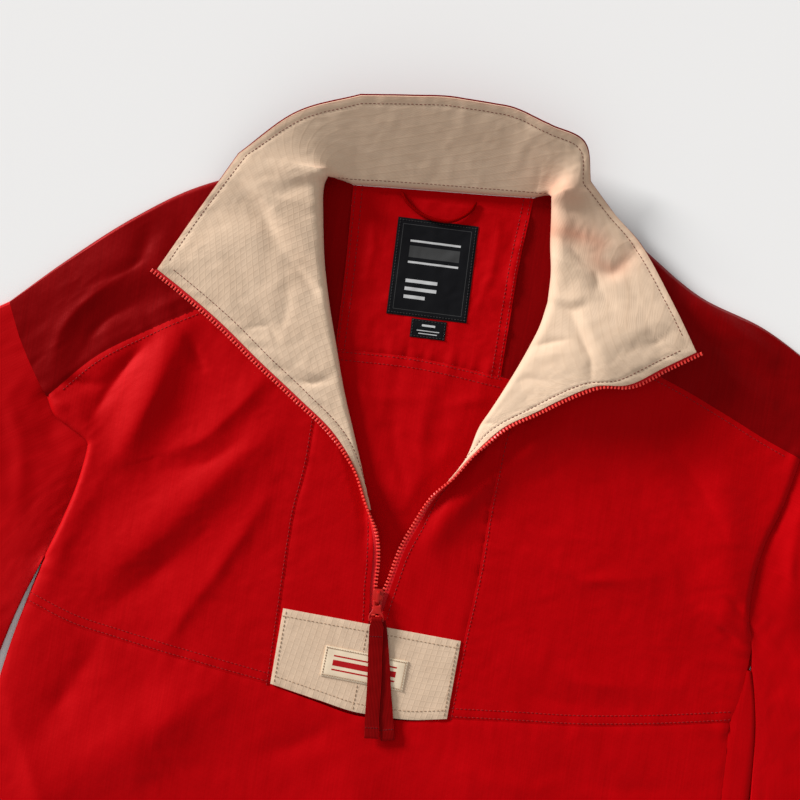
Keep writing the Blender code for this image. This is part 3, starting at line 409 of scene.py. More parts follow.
def beside(points, line):
    """Each plan point's distance to a line, positive on its left, and its place along it."""
    start, run = line[:-1, :2], np.diff(line[:, :2], axis=0)
    length = np.linalg.norm(run, axis=1)
    to = points[..., None, :2] - start
    f = np.clip((to * run).sum(-1) / length ** 2, 0, 1)
    away = np.linalg.norm(to - f[..., None] * run, axis=-1)
    nearest = away.argmin(-1)[..., None]
    side = np.where(run[..., 0] * to[..., 1] - run[..., 1] * to[..., 0] >= 0, 1, -1)
    along = distances(line[:, :2])[:-1] + f * length
    return [np.take_along_axis(grid, nearest, -1)[..., 0] for grid in (away * side, along)]


def ripple(x, y, seed):
    """Smooth noise from about -1 to 1, with one rise or fall per unit. The large numbers only
    scramble the slope at each corner."""
    i, j = np.floor(x), np.floor(y)
    fx, fy = x - i, y - j
    total = 0
    for a in (0, 1):
        for b in (0, 1):
            angle = np.sin((i + a) * 127.1 + (j + b) * 311.7 + seed * 74.7) * 43758.5453 % 1 * 2 * math.pi
            near = np.abs(1 - a - fx), np.abs(1 - b - fy)
            weight = near[0] ** 3 * (near[0] * (near[0] * 6 - 15) + 10) * near[1] ** 3 * (
                near[1] * (near[1] * 6 - 15) + 10)
            total = total + weight * ((fx - a) * np.cos(angle) + (fy - b) * np.sin(angle))
    return total * 1.5


def near_line(points, line, reach, height_at):
    """height_at(distance from the line, place along it) for the points near a line, and 0 elsewhere."""
    height = np.zeros(points.shape[:-1])
    low, high = line.min(0) - reach, line.max(0) + reach
    near = ((points[..., :2] > low) & (points[..., :2] < high)).all(-1)
    if near.any():
        height[near] = height_at(*beside(points[near], line))
    return height


def creased(points, creases, seed):
    """The height of a table of creases. Each swells and narrows unevenly along its length."""
    height = np.zeros(points.shape[:-1])
    for number, (tall, left, right, *places) in enumerate(creases):
        line = smooth(places, 4 * len(places) + 5)

        def ridge(off, along):
            uneven = ripple(along / 22, along * 0 + number * 3.7, seed)
            width = np.where(off > 0, left, right) * (1 + 0.3 * uneven)
            taper = np.sin(math.pi * np.clip(0.06 + 0.88 * along / distances(line)[-1], 0, 1)) ** 0.8
            return tall * taper * (1 - 0.25 * uneven) * np.exp(-np.abs(off / width) ** 1.5)

        height += near_line(points, line, 3 * max(left, right), ridge)
    return height * CREASE_STRENGTH


def puckers(points, line, tall, pitch, reach, seed):
    """Short uneven gathers across a seam, which die out away from it."""
    def gathers(off, along):
        fine = ripple(along / pitch, off / (4 * pitch), seed)
        broad = ripple(along / (2.3 * pitch), off / 40, seed + 5)
        return tall * (fine + 0.5 * broad) * np.exp(-np.abs(off) / reach)

    return near_line(points, line, 3 * reach, gathers)


def sunk(points, line, deep):
    """The dip that the stitching pulls into the cloth along a line."""
    return near_line(points, line, 3 * SEWN_WIDTH,
                     lambda off, along: -deep * np.exp(-(off / SEWN_WIDTH) ** 2))


def crumpled(points, seed, tall, size=26.0):
    """A faint all-over unevenness, with soft ridges between smoother places."""
    x, y = points[..., 0] / size, points[..., 1] / size
    bend = ripple(x * 0.7, y * 0.7, seed + 3)
    broad = ripple(x + bend, y - bend, seed)
    ridges = 1 - np.abs(ripple(1.9 * x - bend, 1.9 * y + bend, seed + 9)) * 2
    return tall * (broad + 0.45 * ridges + 0.25 * ripple(4.3 * x, 4.3 * y, seed + 6))


def back_skin(points):
    """Height of the back's upper face. It lies flat except where the neck and the zip are open."""
    y = points[..., 1]
    sides = [np.interp(y, *zip(*[(b, a) for a, b in ROLL_LINES[side]])) for side in ROLL_LINES]
    room = np.minimum(points[..., 0] - sides[0], sides[1] - points[..., 0])
    room = np.where((y < OPEN_FROM) | (y > OPEN_TO), 0, room)
    open_part = np.clip(room / OPEN_EASE, 0, 1) ** 1.5
    height = 0.5 + creased(points, BACK_CREASES, 4) + crumpled(points, 21, 0.55, 22)
    for side in ("left", "right"):
        height += puckers(points, seam(side, "back_panel", 4), 0.8, 8, 10, 31)
        height += puckers(points, seam(side, "back_seam", 4), 0.6, 7, 9, 33)
    centre = seam("middle", "back_seam", 8)
    height += puckers(points, centre, 1.0, 7, 11, 35) + sunk(points, centre, 0.7)
    return BACK_TOP + open_part * np.maximum(height, BACK_DIP)


def shell_cloth(name, tones, gloss, rough=0.60, specular=0.6):
    """Fine plain weave of filament yarn, with a satin gloss in its own colour."""
    tree = new_tree(name)
    ends = threads(tree, on_cloth(tree), SHELL_THREADS, 0.4, detail=1.0)
    picks = threads(tree, on_cloth(tree), SHELL_PICKS, 0.4, "Y")
    slubs = noise(tree, on_cloth(tree, 1.6, 60), detail=3)
    across = noise(tree, on_cloth(tree, 45, 1.3), detail=2)
    cloudy = noise(tree, on_cloth(tree, 35, 45), detail=3)
    weave = maths(tree, "MULTIPLY", maths(tree, "ADD", ends, picks), 0.16)
    weave = maths(tree, "MULTIPLY_ADD", across, SHELL_STREAK * 0.5, weave)
    height = maths(tree, "MULTIPLY_ADD", slubs, SHELL_STREAK, weave)
    tone = maths(tree, "MULTIPLY_ADD", maths(tree, "SUBTRACT", slubs, 0.5), 1.2, cloudy)
    roughness = maths(tree, "MULTIPLY_ADD", cloudy, 0.16, rough - 0.08)
    return finish_material(name, blend_colours(tree, tone, *tones), height, roughness, 0.22,
                           specular=specular, specular_tint=gloss)


def soften(mesh, sharp):
    """Smooths a mesh, but for the edges that are sharper than so many degrees."""
    mesh.shade_smooth()
    mesh.set_sharp_from_angle(angle=math.radians(sharp))


def cloth_piece(name, upper, lower, material, ring=False, keep=None, plan=True, red_shade=None):
    """A closed thin shell between two grids of points. ring closes each row, keep says which cells
    exist, and plan lays the weave straight over the garment instead of along the grid."""
    rows, columns = upper.shape[:2]
    count = rows * columns
    wide = columns if ring else columns - 1
    i, j = [grid.ravel() for grid in np.meshgrid(np.arange(rows - 1), np.arange(wide), indexing="ij")]
    if keep is not None:
        chosen = keep(i, j)
        i, j = i[chosen], j[chosen]
    k = (j + 1) % columns
    quads = np.stack([i * columns + j, i * columns + k, (i + 1) * columns + k, (i + 1) * columns + j], 1)
    across = np.linalg.norm(np.diff(upper, axis=1, append=upper[:, :1]), axis=2)
    along = np.linalg.norm(np.diff(upper, axis=0, append=upper[-1:]), axis=2)
    u = np.concatenate([np.zeros((rows, 1)), np.cumsum(across, axis=1)], axis=1)
    v = np.concatenate([np.zeros((1, columns)), np.cumsum(along, axis=0)], axis=0)
    v = np.concatenate([v, v[:, :1]], axis=1)
    place = np.stack([np.dstack([u[a, b], v[a, b]])[0] for a, b in
                      ((i, j), (i, j + 1), (i + 1, j + 1), (i + 1, j))], axis=1)
    if plan:
        place = upper.reshape(-1, 3)[quads][..., :2]
    edges = np.concatenate([quads[:, [a, (a + 1) % 4]] for a in range(4)])
    key = edges[:, 0] * count + edges[:, 1]
    rim = edges[~np.isin(key, edges[:, 1] * count + edges[:, 0])]
    sides = np.stack([rim[:, 1], rim[:, 0], rim[:, 0] + count, rim[:, 1] + count], axis=1)
    flat_uv = np.zeros((count, 2))
    flat_uv[quads.ravel()] = place.reshape(-1, 2)
    faces = np.concatenate([quads, quads[:, ::-1] + count, sides])
    uv = np.concatenate([place, place[:, ::-1], flat_uv[sides % count]])
    points = np.concatenate([upper.reshape(-1, 3), lower.reshape(-1, 3)])
    used, faces = np.unique(faces, return_inverse=True)
    faces = faces.reshape(-1, 4)
    mesh = bpy.data.meshes.new(name)
    mesh.from_pydata(points[used] * MM, [], faces.tolist())
    set_uv(mesh, uv)
    # Each point can carry a share of painted reddish shade, which the material mixes in.
    if red_shade is not None:
        tint = mesh.attributes.new("red_shade", "FLOAT", "POINT")
        tint.data.foreach_set("value", np.tile(red_shade.ravel(), 2)[used].astype(np.float32))
    shape = bmesh.new()
    shape.from_mesh(mesh)
    bmesh.ops.recalc_face_normals(shape, faces=shape.faces)
    shape.to_mesh(mesh)
    shape.free()
    soften(mesh, CLOTH_SHARP)
    mesh.materials.append(material)
    return new_object(name, mesh)


def put(piece, node_name, body="garment"):
    """Attaches a piece of cloth to the body that it moves with, and hides the part that it stands for."""
    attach(piece, body)
    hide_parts(node_name)


def level(grid, up):
    """A plan grid or a grid of points with their normals, which point straight up or down."""
    if grid.shape[-1] == 2:
        grid = np.dstack([grid, np.zeros(grid.shape[:2])])
    return grid, np.full(grid.shape, (0.0, 0.0, 1.0 if up else -1.0))


def round_fold(edge, outwards, angles):
    """Points and normals round a fold of the height FOLD_TOP, from its outermost line."""
    normal = np.array([np.column_stack([outwards * math.cos(a), np.full(len(edge), math.sin(a))])
                       for a in np.radians(angles)])
    middle = np.column_stack([edge - outwards * FOLD_TOP / 2, np.full(len(edge), FOLD_TOP / 2)])
    return middle + normal * FOLD_TOP / 2, normal


def join(parts, axis=0):
    """Grids of points with their normals, joined in order."""
    return [np.concatenate(grids, axis=axis) for grids in zip(*parts)]


red_cloth = shell_cloth("red_shell", SHELL_RED, RED_SHEEN)

# --------------------------------------------------------------------------- fronts' height
# The front's large folds and its creases, as one height for all the pieces that it is sewn from.
FRONT_CREASES = [
    # left chest, from the yoke down
    (1.0, 6, 9, (-176, 176), (-184, 142), (-194, 108), (-206, 78)),
    (-3.0, 5, 6, (-200, 164), (-213, 146), (-222, 128), (-233, 102)),
    (-2.0, 4, 4, (-173, 174), (-164, 159), (-155, 147)),
    (2.9, 7, 14, (-106, 154), (-128, 124), (-150, 97), (-176, 83)),
    (-1.3, 8, 7, (-116, 108), (-142, 82), (-176, 70)),
    (1.4, 12, 12, (-98, 112), (-124, 84), (-146, 50), (-172, 16), (-204, -12)),
    (-2.2, 13, 14, (-140, 26), (-170, -8), (-204, -46)),
    (2.0, 6, 13, (-92, 70), (-105, 38), (-120, 6), (-138, -28), (-150, -54)),
    (-2.0, 5, 7, (-258, 124), (-244, 126), (-229, 124)),
    (1.8, 5, 6, (-264, 108), (-248, 106), (-234, 98)),
    (1.0, 8, 9, (-212, 70), (-230, 30), (-244, -20)),
    # right chest
    (2.8, 13, 7, (120, 154), (103, 141), (79, 113), (60, 92), (44, 75), (28, 46)),
    (1.3, 8, 8, (96, 60), (150, 40), (205, 52)),
    (1.2, 10, 12, (176, 136), (206, 112), (240, 70)),
    (-1.1, 7, 7, (180, 160), (222, 124), (250, 84)),
    (-1.6, 2.6, 3, (258, 44), (266, 38), (277, 26)),
    (-1.4, 2.4, 2.6, (254, 21), (262, 17), (271, 11)),
    (1.2, 6, 6, (236, 36), (254, 28), (268, 18)),
    (1.1, 8, 8, (100, -12), (160, -36), (230, -30)),
    (-0.9, 8, 8, (92, -34), (150, -54), (200, -50)),
    # front below the chest seam
    (-2.2, 12, 12, (-200, -60), (-216, -98), (-234, -136)),
    (-1.4, 9, 9, (-16, -96), (-40, -114), (-70, -128)),
    (1.8, 20, 22, (-110, -84), (-146, -120), (-160, -170)),
    (1.5, 10, 12, (40, -96), (92, -118), (150, -122)),
    (-1.2, 9, 9, (150, -90), (192, -112), (240, -104)),
    (2.0, 12, 9, (-262, -120), (-230, -180), (-190, -260)),
    (-1.6, 9, 10, (-120, -210), (-170, -250), (-236, -262)),
    (2.0, 10, 12, (60, -180), (84, -240), (72, -320)),
    (-1.6, 10, 9, (120, -190), (170, -240), (250, -262)),
    (1.8, 9, 9, (-60, -200), (-72, -270), (-52, -350)),
    (-1.4, 8, 8, (-10, -230), (10, -290), (0, -370)),
    (1.8, 10, 8, (200, -290), (236, -330), (250, -380)),
    # left yoke, right yoke
    (-2.6, 8, 8, (-213, 246), (-217, 222), (-248, 199)),
    (2.2, 7, 7, (-269, 132), (-266, 160), (-238, 200), (-210, 223)),
    (-1.4, 7, 6, (-252, 138), (-240, 168), (-206, 196)),
    (1.2, 6, 6, (-206, 184), (-176, 204), (-158, 222)),
    (-1.5, 6, 8, (196, 238), (226, 226), (268, 206)),
    (1.4, 6, 6, (206, 214), (236, 206), (276, 184)),
]
SLEEVE_CREASES = [
    # left sleeve, cap to cuff
    (-2.4, 9, 8, (-273, 92), (-256, 76), (-236, 64)),
    (2.0, 7, 8, (-300, 110), (-282, 70), (-276, 20)),
    (-1.8, 8, 8, (-322, 96), (-306, 50), (-300, 0)),
    (2.2, 9, 7, (-300, -8), (-336, 10), (-392, 30)),
    (-2.0, 8, 8, (-286, -40), (-336, -46), (-380, -70)),
    (2.4, 8, 8, (-300, -90), (-356, -104), (-430, -96)),
    (-1.8, 7, 8, (-316, -140), (-370, -140), (-420, -170)),
    (2.2, 9, 8, (-330, -190), (-376, -236), (-440, -240)),
    (-1.6, 7, 7, (-350, -250), (-400, -262), (-452, -296)),
    (1.8, 8, 8, (-386, -320), (-420, -340), (-472, -340)),
    # right sleeve, cap to cuff
    (2.0, 7, 8, (316, 150), (300, 96), (304, 40)),
    (-1.8, 8, 8, (340, 120), (324, 66), (326, 10)),
    (2.2, 9, 7, (316, 0), (360, 20), (420, 44)),
    (-2.0, 8, 8, (310, -36), (366, -40), (416, -66)),
    (2.4, 8, 8, (322, -84), (380, -98), (462, -88)),
    (-1.8, 7, 8, (330, -126), (386, -130), (446, -160)),
    (2.2, 9, 8, (346, -176), (400, -216), (470, -214)),
    (-1.6, 7, 7, (366, -236), (420, -250), (484, -280)),
    (1.8, 8, 8, (404, -300), (446, -316), (496, -318)),
]
ARMHOLE_RISE = {"left": (1.8, -3.2), "right": (1.2, -1.8)}


def outline():
    """The edges where the front comes down to the back."""
    lines = [seam("middle", "hem_back", 1), seam("left", "side_top", 1), seam("left", "side_low", 1),
             seam("right", "fold", 1)]
    for side in ("left", "right"):
        outer, inner = (seam(side, name, 1) for name in ("sleeve_outer", "sleeve_inner"))
        lines += [seam(side, "shoulder", 1), outer, inner, np.array([outer[-1], inner[-1]])]
    return lines


OUTLINE = outline()


def relief(points):
    """Height of the largest folds at each plan point."""
    height = np.zeros(points.shape[:-1])
    for x0, y0, x1, y1, width, tall in FOLDS:
        run = np.array((x1 - x0, y1 - y0), float)
        to = points[..., :2] - (x0, y0)
        f = np.clip((to @ run) / (run @ run), 0, 1)
        off = np.linalg.norm(to - f[..., None] * run, axis=-1)
        height += tall * np.exp(-(off / width) ** 2) * (0.55 + 0.45 * np.sin(math.pi * f))
    return height


def rise_from_edge(points):
    """0 on the garment's outline, rising to 1 a little inside it."""
    nearest = np.min([np.abs(beside(points, line)[0]) for line in OUTLINE], axis=0)
    inside = np.clip(nearest / EDGE_RISE, 0, 1)
    return np.sqrt(inside * (2 - inside))


def front_top(points, edge=EDGE_TOP):
    """Height of the front's top face with only its large folds, falling to edge at the outline."""
    return edge + rise_from_edge(points) * (FRONT_TOP - edge + relief(points))


def armhole_roll(points, side, on_body):
    """The body's cloth rolls up along the armhole, and the sleeve sinks beside it."""
    line = seam(side, "armhole_body", 4)
    off = np.abs(beside(points, line)[0])
    high, low = ARMHOLE_RISE[side]
    if on_body:
        return high * np.exp(-(off / 14) ** 1.6) + low * np.exp(-off / 1.4)
    return low * np.exp(-(off / 10) ** 1.5)


def front_detail(points, on_sleeve=""):
    """Creases, puckers and seams on the front, over the large folds."""
    height = creased(points, SLEEVE_CREASES if on_sleeve else FRONT_CREASES, 2)
    height += crumpled(points, 7 if on_sleeve else 11, 0.45 if on_sleeve else 0.32)
    for side in ("left", "right"):
        if on_sleeve in ("", side):
            height += armhole_roll(points, side, not on_sleeve)
            height += puckers(points, seam(side, "armhole_yoke", 4), 0.5, 8, 9, 41)
        if not on_sleeve:
            for name, tall, pitch, reach in (("yoke_seam", 0.75, 7, 11), ("chest_seam", 0.45, 9, 9),
                                             ("side_low", 0.8, 9, 14), ("side_top", 0.9, 8, 12)):
                line = seam(side, name, 4)
                height += puckers(points, line, tall, pitch, reach, 43) + sunk(points, line, 0.4)
            line = seam(side, "princess", 4)
            height += puckers(points, line, 0.8 if side == "right" else 0.5, 8, 8, 47)
            height += sunk(points, line, 0.35)
    if not on_sleeve:
        line = seam("middle", "chest_point", 4)
        height += puckers(points, line, 0.4, 9, 9, 49) + sunk(points, line, 0.5)
    return height


def front_skin(points, edge=EDGE_TOP, on_sleeve=""):
    """Height of the front's top face with everything on it."""
    return front_top(points, edge) + rise_from_edge(points) * front_detail(points, on_sleeve)


# --------------------------------------------------------------------------- the back's two meshes
BACK_ROWS, BACK_COLUMNS, WRAP_STEPS = 5, 9, 7
WRAP_ANGLES = (-60, -30, 0, 30, 60)

inside_back = inset(patch(seam("middle", "back_seam", 16), seam("middle", "neck", 16),
                          seam("left", "back_panel", 16)[::-1], seam("right", "back_panel", 16)[::-1]))
inside_back = np.dstack([inside_back, back_skin(inside_back)])
back_center = cloth_piece("back_center_cloth", inside_back, inside_back - (0, 0, CLOTH), red_cloth)
put(back_center, "back_center")

back_top_edge = chain(seam("left", "back_seam", BACK_COLUMNS), seam("middle", "back_seam", BACK_COLUMNS),
                      seam("right", "back_seam", BACK_COLUMNS)[::-1])
back_left = chain(*[seam("left", name, BACK_ROWS) for name in ("armhole_body", "side_top", "side_low")])
fold_edge = seam("right", "fold", BACK_ROWS)[::-1]
side_seam = chain(seam("right", "side_top", BACK_ROWS), seam("right", "side_low", BACK_ROWS))[::-1]
side_seam, wrapped = side_seam[:len(fold_edge)], len(fold_edge)
body_armhole = seam("right", "armhole_body", BACK_ROWS)[::-1]
back_right = chain(fold_edge, np.linspace(fold_edge[-1], body_armhole[0], BACK_ROWS + 1), body_armhole)
back_outwards = square_to(back_right, (1000, -200))
back_plan = inset(patch(seam("middle", "hem_back", BACK_COLUMNS), back_top_edge, back_left[::-1],
                        back_right), inner=False)
back_plan[wrapped:, -1] -= back_outwards[wrapped:] * EDGE_GAP
back_plan[:wrapped, -1] -= back_outwards[:wrapped] * FOLD_TOP / 2
round_front = np.zeros((len(back_right), WRAP_STEPS, 2))
for row in range(wrapped):
    round_front[row] = np.linspace(back_plan[row, -1], side_seam[row] + (EDGE_GAP, 0), WRAP_STEPS)
folded = [grid.swapaxes(0, 1) for grid in round_fold(back_right, back_outwards, WRAP_ANGLES)]
lying, facing_up = level(np.dstack([back_plan, back_skin(back_plan) - CLOTH]), False)
over, over_up = level(np.dstack([round_front, front_skin(round_front, FOLD_TOP)]), True)
back_face, back_away = join([(lying, facing_up), folded, (over, over_up)], axis=1)
last_column = back_plan.shape[1] - 1
back_lower = cloth_piece("back_lower_cloth", back_face, back_face - back_away * CLOTH, red_cloth,
                         keep=lambda i, j: (j < last_column) | (i < wrapped - 1))
put(back_lower, "back_lower")

# =========================================================================== collar
# The lining and both front facings are one tan ripstop surface, and the outer collar is dark red.
# The collar stands at the back neck, and lies turned open with the fronts on both sides.
# Each row is one cross-section: its inner edge, the way out from there in plan, the slope where its
# bend starts and ends, the straight lead before the bend, the bend's radius, and its outer edge.
COLUMNS = ("ix", "iy", "iz", "out", "start", "end", "lead", "bend", "ex", "ey", "ez")
SECTIONS = {
    "left_front": [
        (-16, 66, 1.7, 190, 180, 95, 3, 3.1, -16.8, 67, 10.0),
        (-24, 87, 1.7, 195, 180, 30, 5, 3.2, -29, 91, 10.0),
        (-37, 119, 1.7, 198, 180, 0, 7, 3.6, -52, 118, 9.2),
        (-50, 151, 1.7, 200, 180, -4, 7, 4.2, -84, 141, 8.6),
        (-60, 180, 1.7, 202, 180, -5, 7, 4.8, -115, 162, 8.6),
        (-72, 216, 1.7, 202, 180, -5, 7, 5.6, -150, 187, 8.6),
        (-80, 245, 1.7, 202, 180, -5, 7, 6.6, -179, 205, 8.6),
        (-85, 270, 1.7, 202, 180, -5, 7, 7.6, -202, 218, 8.6),
    ],
    "left_collar": [
        (-85, 270, 1.7, 202, 180, -5, 7, 7.6, -202, 218, 8.6),
        (-89, 297, 1.7, 192, 180, -5, 7, 8.6, -184, 256, 9.0),
        (-87, 306, 2.8, 152, 120, 8, 10, 10.0, -155, 312, 18.0),
    ],
    "left_neck": [
        (-87, 306, 2.8, 152, 120, 8, 10, 10.0, -155, 312, 18.0),
        (-80, 306.5, 2.0, 128, 90, 20, 6, 10.0, -118, 346, 30.0),
        (-68, 304.3, 1.5, 100, 80, 30, 2, 8.0, -72, 366, 37.0),
    ],
    "back_neck": [
        (-68, 304.3, 1.5, 100, 80, 30, 2, 8, -72, 366, 37.0),
        (-35, 307.3, 1.5, 95, 80, 30, 2, 6, -37, 371, 38.0),
        (0, 310.3, 1.5, 90, 80, 30, 2, 6, -2, 375, 38.0),
        (36, 313.3, 1.5, 85, 80, 30, 2, 6, 34, 375, 37.0),
        (67, 316.3, 1.5, 78, 80, 28, 2, 8, 68, 367, 35.0),
    ],
    "right_neck": [
        (67, 316.3, 1.5, 78, 80, 28, 2, 8.0, 68, 367, 35.0),
        (76.5, 319.5, 2.0, 55, 90, 18, 6, 10.0, 98, 357, 29.0),
        (79, 318, 2.8, 32, 120, 6, 10, 10.0, 106, 333, 20.0),
    ],
    "right_collar": [
        (79, 318, 2.8, 32, 120, 6, 10, 10.0, 106, 333, 20.0),
        (81, 307, 1.8, 8, 180, -6, 7, 9.6, 127.5, 313, 14.0),
        (84, 284, 1.7, -4, 180, -6, 7, 8.6, 150.5, 293.5, 14.0),
        (88, 262, 1.7, -10, 180, -5, 7, 7.6, 178.3, 256.7, 15.5),
        (89, 240, 1.7, -14, 180, -5, 7, 6.8, 203, 220.6, 17.5),
    ],
    "right_front": [
        (89, 240, 1.7, -14, 180, -5, 7, 6.8, 203, 220.6, 17.5),
        (86, 222, 1.7, -18, 180, -5, 7, 6.2, 181.2, 205.6, 17.5),
        (81, 206, 1.7, -20, 180, -5, 7, 5.6, 157.2, 188.8, 17.0),
        (74, 187, 1.7, -20, 180, -5, 7, 5.2, 133.2, 183.8, 16.5),
        (67, 170, 1.7, -20, 180, -5, 7, 4.6, 112.3, 171.9, 16.0),
        (60, 154, 1.7, -18, 180, -4, 7, 4.2, 91.5, 157, 15.0),
        (54, 141, 1.7, -16, 180, 0, 7, 3.8, 73.6, 145, 13.5),
        (48, 117, 1.7, -12, 180, 30, 5, 3.3, 53, 121, 11.5),
        (37, 96, 1.7, -10, 180, 95, 3, 3.1, 38, 98, 10.0),
    ],
}
SECTION_STEPS = {"left_front": 13, "left_collar": 6, "left_neck": 3, "back_neck": 6, "right_neck": 3,
                 "right_collar": 6, "right_front": 13}
COLLAR_SEAM, CORNER, SIDE_NECK = 11, 13, 19      # in the same steps, from either end
BEND_STEPS, FLAP_STEPS = 10, 42
LINING_DEEP, OUTER_FROM, OUTER_TO = 0.7, 1.5, 2.1      # depths under the lining's face
OUTER_PROUD = 0.9      # the outer collar reaches this far past the lining
TOP_STITCH, ZIP_STITCH, BACK_STITCH = 6.0, 9.0, 8.0      # rows in from the top, the zip and the neck seam
COLLAR_CREASES = [
    # left side, from the corner at the top down to the foot of the zip
    (-2.6, 5, 9, (-150, 286), (-127, 266), (-112, 246), (-94, 230), (-82, 220)),
    (2.4, 9, 6, (-146, 292), (-120, 274), (-96, 254), (-84, 240)),
    (1.8, 8, 7, (-140, 286), (-118, 284), (-92, 284)),
    (-1.1, 3, 3, (-98, 241), (-84, 233), (-74, 223)),
    (-1.0, 3, 3, (-98, 233), (-89, 224), (-80, 214)),
    (-1.0, 3, 5, (-104, 224), (-102, 206), (-103, 190)),
    (-0.9, 4, 3, (-132, 184), (-114, 190), (-103, 178)),
    (1.0, 5, 5, (-112, 178), (-90, 164), (-62, 158)),
    (-1.3, 4, 5, (-106, 166), (-80, 152), (-60, 160)),
    (-1.0, 4, 4, (-72, 140), (-54, 130), (-38, 114)),
    (0.8, 8, 7, (-170, 222), (-146, 206), (-122, 198)),
    (-0.7, 6, 6, (-176, 236), (-150, 232), (-128, 214)),
    # right side, from its top down
    (-3.0, 7, 5, (80, 290), (98, 285), (108, 276), (130, 268), (144, 282), (152, 296)),
    (2.0, 6, 9, (84, 276), (104, 268), (122, 262)),
    (1.4, 5, 5, (92, 246), (104, 243), (118, 251)),
    (-1.2, 4, 4, (94, 240), (106, 237), (119, 243)),
    (-1.8, 6, 5, (104, 236), (114, 220), (126, 203), (129, 186)),
    (1.2, 6, 6, (112, 240), (124, 222), (138, 204)),
    (-1.4, 3, 3, (80, 204), (96, 211), (108, 215)),
    (0.8, 4, 4, (82, 196), (98, 202), (112, 206)),
    (-0.9, 3, 3, (56, 142), (62, 145), (70, 145)),
    (-1.7, 6, 7, (118, 268), (124, 258), (138, 242)),
    (-1.0, 7, 6, (142, 208), (158, 216), (186, 231)),
    (1.0, 7, 7, (140, 222), (158, 230), (178, 244)),
    (-0.9, 4, 4, (72, 176), (86, 182), (104, 180)),
    # sharp short ones, right side
    (-0.7, 1.3, 1.6, (106, 237), (116, 220), (126, 203), (129, 188)),
    (-0.6, 1.2, 1.2, (80, 205), (94, 210), (108, 215)),
    (-0.8, 1.3, 2.2, (171, 221), (177, 228), (184, 235)),
    (-0.5, 1.2, 1.2, (50, 141), (60, 144), (68, 144)),
    (-0.6, 1.6, 1.2, (119, 270), (123, 258), (121, 250)),
    # and left side
    (-0.7, 1.4, 2.0, (-104, 238), (-92, 231), (-78, 218)),
    (-0.6, 1.3, 1.3, (-131, 184), (-116, 189), (-104, 178)),
    (-0.6, 1.3, 1.3, (-92, 160), (-76, 152), (-60, 158)),
]
COLLAR_PAINTED_SHADE = [                                  # painted reddish shade on the lining, where its folds lie in shade
    (0.62, 9, 8, (70, 295), (98, 293), (126, 290)),
    (0.45, 7, 8, (122, 292), (120, 278), (132, 272), (148, 292)),
    (0.40, 14, 14, (66, 330), (88, 322), (108, 314)),
]
TAN = ((0.60, 0.42, 0.285, 1), (0.69, 0.51, 0.365, 1))
# The colour of the painted reddish shade on the tan lining.
TAN_IN_PAINTED_SHADE = (0.58, 0.25, 0.155, 1)
RIPSTOP_PITCH, RIPSTOP_TURN = 4.3, 9.0
YOKE_RED = ((0.125, 0.0005, 0.0010, 1), (0.190, 0.0008, 0.0018, 1))
YOKE_GLOSS = (1.0, 0.01, 0.01, 1)


def section_points(row):
    """One cross-section of the collar's visible face, from its inner to its outer edge."""
    s = dict(zip(COLUMNS, row))
    start, end = math.radians(s["start"]), math.radians(s["end"])
    tucked = (start > math.pi / 2) * (s["bend"] * (1 - math.sin(start)) - s["lead"] * math.cos(start))
    line = [(tucked, s["iz"]), (tucked + s["lead"] * math.cos(start), s["iz"] + s["lead"] * math.sin(start))]
    angles = np.linspace(start, end, BEND_STEPS + 1)
    for before, angle in zip(angles, angles[1:]):
        line.append((line[-1][0] + s["bend"] * (math.sin(before) - math.sin(angle)),
                     line[-1][1] + s["bend"] * (math.cos(angle) - math.cos(before))))
    out = math.radians(s["out"])
    points = [np.array((s["ix"] + a * math.cos(out), s["iy"] + a * math.sin(out), z)) for a, z in line]
    edge = np.array((s["ex"], s["ey"], s["ez"]))
    return points[:-1] + list(np.linspace(points[-1], edge, FLAP_STEPS + 1))


def normals(grid, up_at):
    """Unit normals of a grid of points, on the side that faces up at the given place in it."""
    normal = unit(np.cross(np.gradient(grid, axis=0), np.gradient(grid, axis=1)))
    return normal * np.sign(normal[up_at][2])


def from_edge(grid):
    """How far in from its outer edge each point of a grid lies, along its row."""
    steps = np.linalg.norm(np.diff(grid, axis=1), axis=2)[:, ::-1]
    return np.concatenate([np.zeros((len(grid), 1)), np.cumsum(steps, axis=1)], axis=1)[:, ::-1]


def collar_face():
    """The visible face of the facings and the lining, one row for each cross-section."""
    places = [(COLUMNS.index("ix"), COLUMNS.index("iy")), (COLUMNS.index("ex"), COLUMNS.index("ey"))]
    rows = []
    for name, table in SECTIONS.items():
        rows.extend(smooth(table, SECTION_STEPS[name] * FINE + 1, places)[1 if rows else 0:])
    face = np.array([section_points(row) for row in rows])
    face[..., 2] += relief(face)
    away = normals(face, (len(face) // 2, -1))
    inwards = from_edge(face)
    corner = CORNER * FINE
    row = np.arange(len(face))[:, None]
    on_zip = (row <= corner) | (row >= len(face) - 1 - corner)
    stitched = np.where(on_zip, ZIP_STITCH, TOP_STITCH)
    along = distances(face[:, -1])[:, None]
    # It creases only where it looks up, and away from its closed edge. Between the edge and its
    # stitching it puckers, and it is drawn in by the stitching and thinner outside it.
    lies_up = np.clip(away[..., 2] * 2.2 - 0.5, 0, 1) * np.clip((inwards - 1.5) / 6, 0, 1)
    rise = lies_up * (creased(face, COLLAR_CREASES, 6) + crumpled(face, 15, 0.4, 20))
    margin = np.clip(1 - inwards / (stitched * 1.25), 0, 1)
    rise += 0.55 * ripple(along / 7.5, inwards / 30, 51) * np.exp(-((inwards - stitched * 0.75) / 5) ** 2)
    rise -= 0.45 * np.exp(-((inwards - stitched) / 1.6) ** 2) + 0.5 * np.clip(margin * 1.6 - 1, 0, 1) ** 2
    return face + away * rise[..., None], away, inwards


def seam_in(grid):
    """Draws the first and last rows of a grid in by the edge gap."""
    grid = grid.copy()
    for rim, near in ((0, 1), (-1, -2)):
        grid[rim] += unit(grid[near] - grid[rim]) * EDGE_GAP
    return grid


